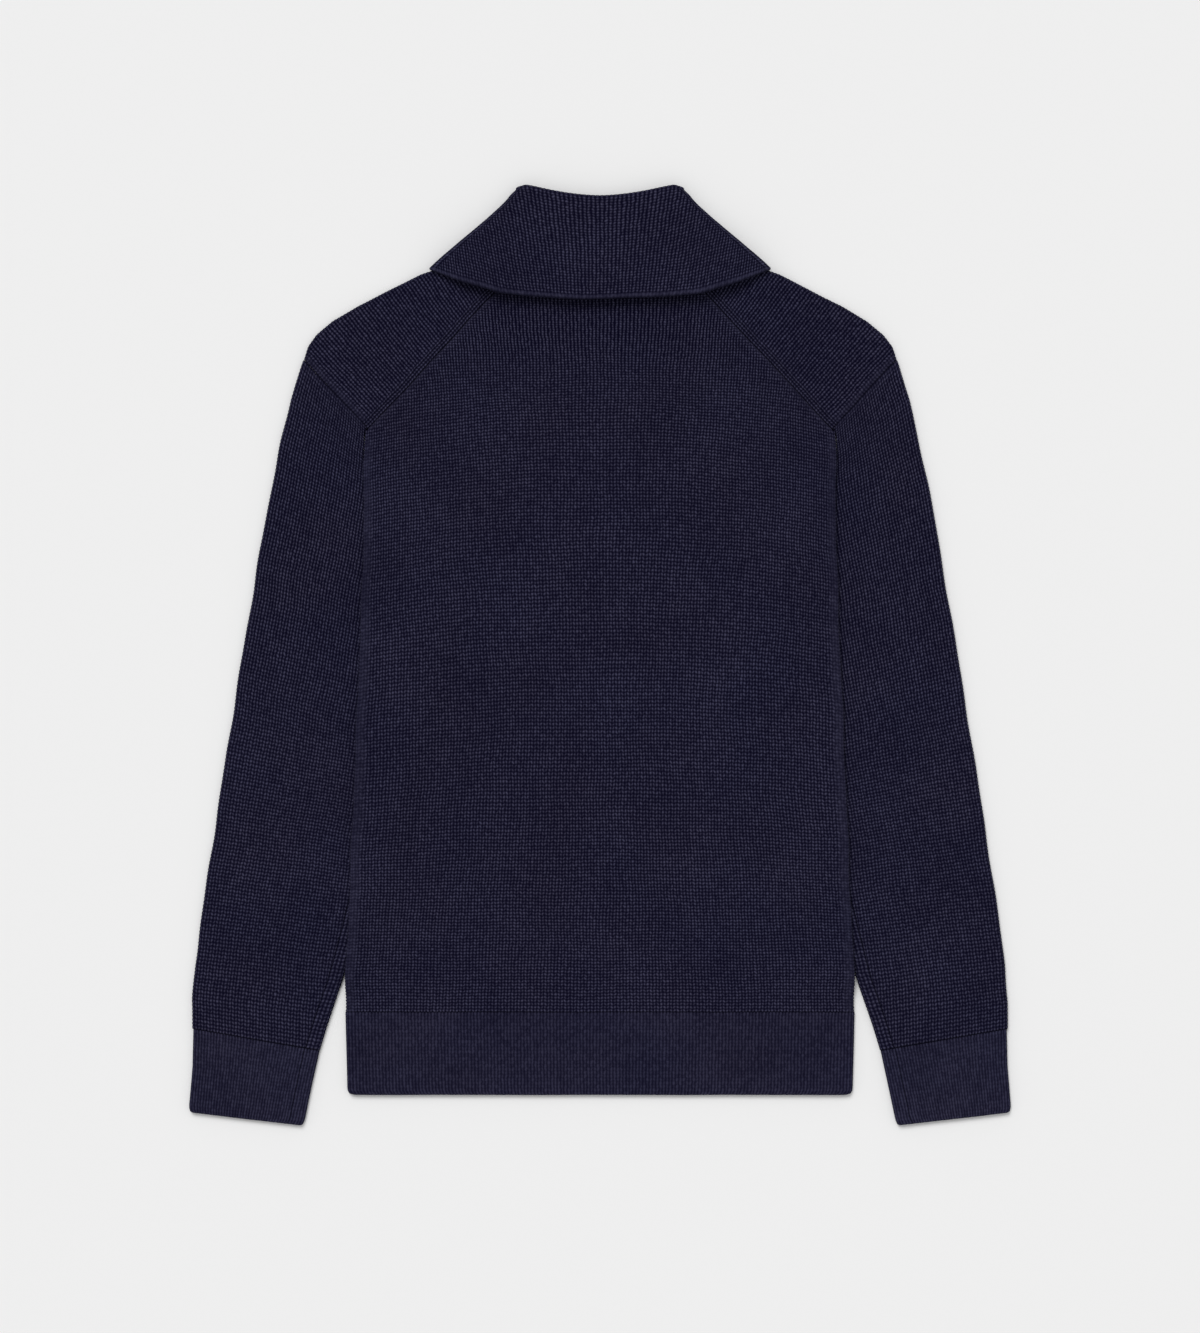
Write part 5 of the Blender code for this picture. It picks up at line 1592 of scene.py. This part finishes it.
def station_of(target, ring):
    """Station whose point lies at half width `target`: halve the interval 24 times."""
    low, high = np.full_like(target, 2.0), np.full_like(target, 3.0)
    limit = collar_shape(low, ring)[0][..., 0]
    for _ in range(24):
        half_way = (low + high) / 2
        outside = collar_shape(half_way, ring)[0][..., 0] > target
        low, high = np.where(outside, half_way, low), np.where(outside, high, half_way)
    return np.where(target >= limit, 2.0, (low + high) / 2)


def collar_back(first, last):
    """The band's back between two rings: half width = COLLAR_HALF (s t + (1 - s) t^3)."""
    def surface(u, v):
        ring = first + (last - first) * v
        t = 2 * u - 1
        spread = read(COLLAR_SPREAD, np.clip(ring - 2, 0, 1), "spread", "fall")
        target = COLLAR_HALF * (spread * np.abs(t) + (1 - spread) * np.abs(t) ** 3)
        middle, out = collar_shape(station_of(target, ring), ring)
        mirror = np.stack([np.where(t < 0, -1.0, 1.0), np.ones_like(t), np.ones_like(t)], axis=-1)
        return middle * mirror, out * mirror
    return surface


def collar_side(first, last, start, end, side):
    """The band between two rings and two stations at one side."""
    def surface(u, v):
        middle, out = collar_shape(start + (end - start) * u, first + (last - first) * v)
        mirror = np.array([side, 1.0, 1.0])
        return middle * mirror, out * mirror
    return surface


# %% Stitches and edge of the collar
def groove_sink(u, v):
    """The last course's hollow, running out towards the edge."""
    return STITCH_DEPTH * (1 - smooth(4 * v))


def roll_sink(u, v):
    """The groove, then half a sine for the roll, which dies out towards both tips."""
    start, end = ROLL_TIPS
    roll = ROLL * np.sin(math.pi * np.clip(v * 1.05, 0, 1)) ** 0.7
    return groove_sink(u, v) - roll * (1 - smooth((np.abs(2 * u - 1) - start) / (end - start)))


def roll_thin(u, v):
    """The edge is rounded over its last quarter: a quarter circle."""
    return np.sqrt(np.maximum(1 - np.clip((v - 0.75) / 0.25, 0, 1) ** 2, 0.01))


def roll_plain(u, v):
    """The roll shows no courses."""
    return ROLL_PLAIN * smooth(4 * v)


def fall_plain(u, v):
    """Darker painted shade in the grooves between the fall's wales."""
    return np.full_like(u, FALL_GROOVES)


# %% Make the collar
def make_collar():
    """Stand, crest, fall and rolled edge, each over the back, round the sides and in front."""
    wall = Wall("collar")
    # first and last ring, rows outside and inside, free edges, sink behind and at the sides,
    # beads, thin, plain
    bands = (
        (0.0, 1.0, steps(STAND_COURSES), 4, ("first_v",),
         stitch_sink, stitch_sink, 0.0, None, None),
        (1.0, 2.0, steps(CREST_COURSES), 3, (),
         stitch_sink, stitch_sink, 0.5 * STITCH_DEPTH, None, None),
        (2.0, ROLL_AT, steps(FALL_COURSES), 10, (),
         stitch_sink, stitch_sink, STITCH_DEPTH, None, fall_plain),
        (ROLL_AT, 3.0, ROLL_ROWS, 3, ("last_v",),
         roll_sink, groove_sink, 0.0, roll_thin, roll_plain))
    before = 0
    for first, last, rows, rough, rims, sink, side_sink, beads, thin, plain in bands:
        courses = 1 if first == ROLL_AT else len(rows) - 1

        def put(surface, columns, rough_columns, wales, free, depth, beads=beads, plain=plain):
            wall.patch(surface, steps(columns), rows, steps(rough_columns), steps(rough),
                       lambda u, v: (wales * u, before + courses * v),
                       free, depth, beads, thin, plain)

        put(collar_back(first, last), 2 * COLLAR_WALES, 16, 2 * COLLAR_WALES, rims, sink)
        for side in (-1, 1):
            put(collar_side(first, last, 2.0, 1.0, side), SIDE_WALES, 4, SIDE_WALES,
                rims, side_sink)
            put(collar_side(first, last, 1.0, 0.0, side), 30, 6, LEAF_WALES,
                rims + ("last_u",), side_sink, beads=0.0, plain=None)
        before += courses
    return wall.finish(cardigan)


collar = make_collar()

# %% [markdown]
# ## The placket
# The front opens from the neck to a hand's breadth above its middle, and two ribbed bands
# close the opening, one on the other. They lie under the garment, so a plain strip with
# lengthwise ribs towards the floor is all that they need. The buttons are beneath them.

# %% Make the placket bands
BAND_WIDTH = 0.0300
BAND_CLOTH = 0.0016             # its knit is finer than the body's
BUTTON_THICKNESS = 0.0020
BAND_RIBS = 11
BAND_RIB_DEPTH = 0.0004
BAND_COURSES = 56


def make_band(name, foot):
    """A strip with lengthwise ribs on its floor side, its underside at height foot."""
    wall = Wall(name, BAND_CLOTH)
    length = NECK_FRONT - BAND_END - 2 * SEAM

    def sheet(u, v):
        flat = np.stack([(u - 0.5) * BAND_WIDTH, BAND_END + SEAM + length * v], axis=-1)
        return lay(flat, foot + BAND_CLOTH / 2, -1.0)

    wall.patch(sheet, steps(BAND_RIBS * RIB_STEPS), steps(BAND_COURSES), steps(4), steps(12),
               lambda u, v: (BAND_RIBS * u, BAND_COURSES * v),
               ("first_u", "last_u", "first_v", "last_v"), rib_sink(BAND_RIBS, BAND_RIB_DEPTH))
    return wall.finish(ribbing)


placket_outer = make_band("placket_outer", BUTTON_THICKNESS + SEAM)
placket_under = make_band("placket_under", BUTTON_THICKNESS + BAND_CLOTH + 2 * SEAM)

# %% [markdown]
# ## The buttons
# A button is turned from horn: a rimmed disc with a shallow dish and four holes. It could
# be cut by booleans, but a fine polar grid with four smooth pits gives the same holes from
# one formula. Horn is streaked, so its colour is a noise stretched along one way. Two
# bars of thread cross the dish and hold the button to the band.

# %% Horn and thread
HORN_DARK = (0.008, 0.006, 0.006, 1.0)
HORN_LIGHT = (0.045, 0.030, 0.022, 1.0)
HORN_GRAIN = (900.0, 140.0, 300.0)      # streaks to the metre along x, y and z


def horn_material():
    """Dark horn: brown streaks along one way, under a satin polish."""
    material = plain_material("dark_horn", HORN_DARK, 0.34)
    tree = material.node_tree
    shader = tree.nodes["Principled BSDF"]
    place = tree.nodes.new("ShaderNodeTexCoord")
    stretch = tree.nodes.new("ShaderNodeMapping")
    stretch.inputs["Scale"].default_value = HORN_GRAIN
    streaks = tree.nodes.new("ShaderNodeTexNoise")
    streaks.inputs["Scale"].default_value = 1.0
    streaks.inputs["Detail"].default_value = 4.0
    tree.links.new(place.outputs["Object"], stretch.inputs["Vector"])
    tree.links.new(stretch.outputs[0], streaks.inputs["Vector"])
    colour = blend_colours(tree, streaks.outputs["Fac"], HORN_DARK, HORN_LIGHT)
    tree.links.new(colour, shader.inputs["Base Color"])
    return material


horn = horn_material()
thread = plain_material("navy_thread", (0.012, 0.012, 0.030, 1.0), 0.7)

# %% Shape of a button
BUTTON_HEIGHTS = (0.1170, 0.1720, 0.2270)
BUTTON_PROFILE = (("radius", "floor_side", "upper_side"), (
    (0.0000, 0.00050, 0.0020), (0.0056, 0.00050, 0.0020), (0.0062, 0.00015, 0.0020),
    (0.0068, 0.00000, 0.0020), (0.0077, 0.00000, 0.0020), (0.0082, 0.00012, 0.0018),
    (0.0085, 0.00060, 0.0014)))
BUTTON_RADII = np.concatenate([np.linspace(0.00005, 0.0034, 22), np.linspace(0.0037, 0.0062, 7),
                               np.linspace(0.0065, 0.0085, 10)])
BUTTON_ANGLES = np.linspace(0, 2 * math.pi, 72, endpoint=False)
HOLE_RING = 0.0018              # the holes' distance from the middle
HOLE_RADIUS = 0.0009
HOLE_DEPTH = 0.0006


def pits(x, y):
    """1 inside any of the four holes, falling off at its lip."""
    deep = np.zeros_like(x)
    for k in range(4):
        turned = math.pi * (0.25 + 0.5 * k)
        away = np.hypot(x - HOLE_RING * math.cos(turned), y - HOLE_RING * math.sin(turned))
        deep = np.maximum(deep, 1 - smooth((away / HOLE_RADIUS - 0.75) / 0.35))
    return deep


def tube_mesh(name, rings, move):
    """A mesh of one or more tubes: quads around each, and a cap at both of its ends.

    rings holds, for each tube, its rings of points from end to end.
    """
    points, faces = [], []
    for tube in rings:
        rows, columns = tube.shape[:2]
        first = sum(len(part) for part in points)
        a, b = np.meshgrid(np.arange(rows - 1), np.arange(columns), indexing="ij")
        after, below = (b + 1) % columns, a + 1
        corners = [a * columns + b, a * columns + after,
                   below * columns + after, below * columns + b]
        faces += (first + np.stack(corners, axis=-1).reshape(-1, 4)).tolist()
        last = first + (rows - 1) * columns
        faces += [list(range(first, first + columns))[::-1], list(range(last, last + columns))]
        points.append(tube.reshape(-1, 3) + move)
    mesh = bpy.data.meshes.new(name)
    mesh.from_pydata(np.concatenate(points).tolist(), [], faces)
    return mesh


def button_disc():
    """Two polar height fields, the floor side and the upper one, joined at the rim."""
    angle, radius = np.meshgrid(BUTTON_ANGLES, BUTTON_RADII)
    x, y = radius * np.cos(angle), radius * np.sin(angle)
    low = read(BUTTON_PROFILE, radius, "floor_side", "radius") + HOLE_DEPTH * pits(x, y)
    high = read(BUTTON_PROFILE, radius, "upper_side", "radius") - HOLE_DEPTH * pits(x, y)
    return np.concatenate([np.stack([x, y, low], axis=-1), np.stack([x, y, high], axis=-1)[::-1]])


# %% Shape of the thread
STRAND = 0.0003                 # radius of a bar of thread
BAR_REACH = 0.72 * HOLE_RING    # from the button's middle to a hole, along x or y
BAR_HEIGHT = 0.00032            # height of a bar's middle over the floor
BAR_DIVE = 0.0006               # how far its ends go down into the holes


def thread_bar(side):
    """One bar of thread: a tube from hole to hole, z = BAR_HEIGHT + BAR_DIVE |2 s - 1|^6."""
    angles = np.linspace(0, 2 * math.pi, 10, endpoint=False)
    share, around = np.meshgrid(np.linspace(0, 1, 15), angles, indexing="ij")
    path_z = BAR_HEIGHT + BAR_DIVE * np.abs(2 * share - 1) ** 6
    return np.stack([(2 * share - 1) * BAR_REACH, side * BAR_REACH + STRAND * np.cos(around),
                     path_z + STRAND * np.sin(around)], axis=-1)


# %% Make the buttons
for number, y_middle in enumerate(BUTTON_HEIGHTS, start=1):
    move = np.array([0.0, y_middle, 0.0])
    disc = add_piece(tube_mesh(f"button_{number}_horn", [button_disc()], move), horn,
                     f"button_{number}")
    disc.data.set_sharp_from_angle(angle=math.radians(40))
    bars = [thread_bar(side) for side in (-1, 1)]
    add_piece(tube_mesh(f"button_{number}_thread", bars, move), thread)

# %% [markdown]
# ## The cut
# Every panel was knitted flat to its shape. Its flat size is stated here as the smallest
# rectangle around the cut, with the cut's own area where it is no rectangle. These are
# lengths along the cloth: a fold counts with its half circle and the strip beneath.

# %% State each sheet's cut
CUTS = (        # piece, width and length of the rectangle, area of the cut, what it lies on
    (back, (0.562, 0.614), 0.294, ("front", "sleeve_left", "sleeve_right")),
    (front, (0.512, 0.740), 0.268, ()),
    (sleeve_left, (0.330, 0.580), 0.138, ()),
    (sleeve_right, (0.330, 0.580), 0.138, ()),
    (cuff_left, (0.216, 0.0686), None, ()),
    (cuff_right, (0.216, 0.0686), None, ()),
    (hem_back, (0.452, 0.0695), None, ("hem_front",)),
    (hem_front, (0.408, 0.0695), None, ()),
    (collar, (0.560, 0.170), 0.075, ("back", "front")),
    (placket_outer, (0.030, 0.1678), None, ("button_1", "button_2", "button_3")),
    (placket_under, (0.030, 0.1678), None, ("placket_outer",)),
)
for piece, flat, area, rests_on in CUTS:
    surface = sum(polygon.area for polygon in piece.data.polygons) / 2
    stated = area or flat[0] * flat[1]
    print(f"{piece.name}: {surface:.4f} m2 of shell for {stated:.4f} m2 of cut, "
          f"{surface / stated:.2f}")
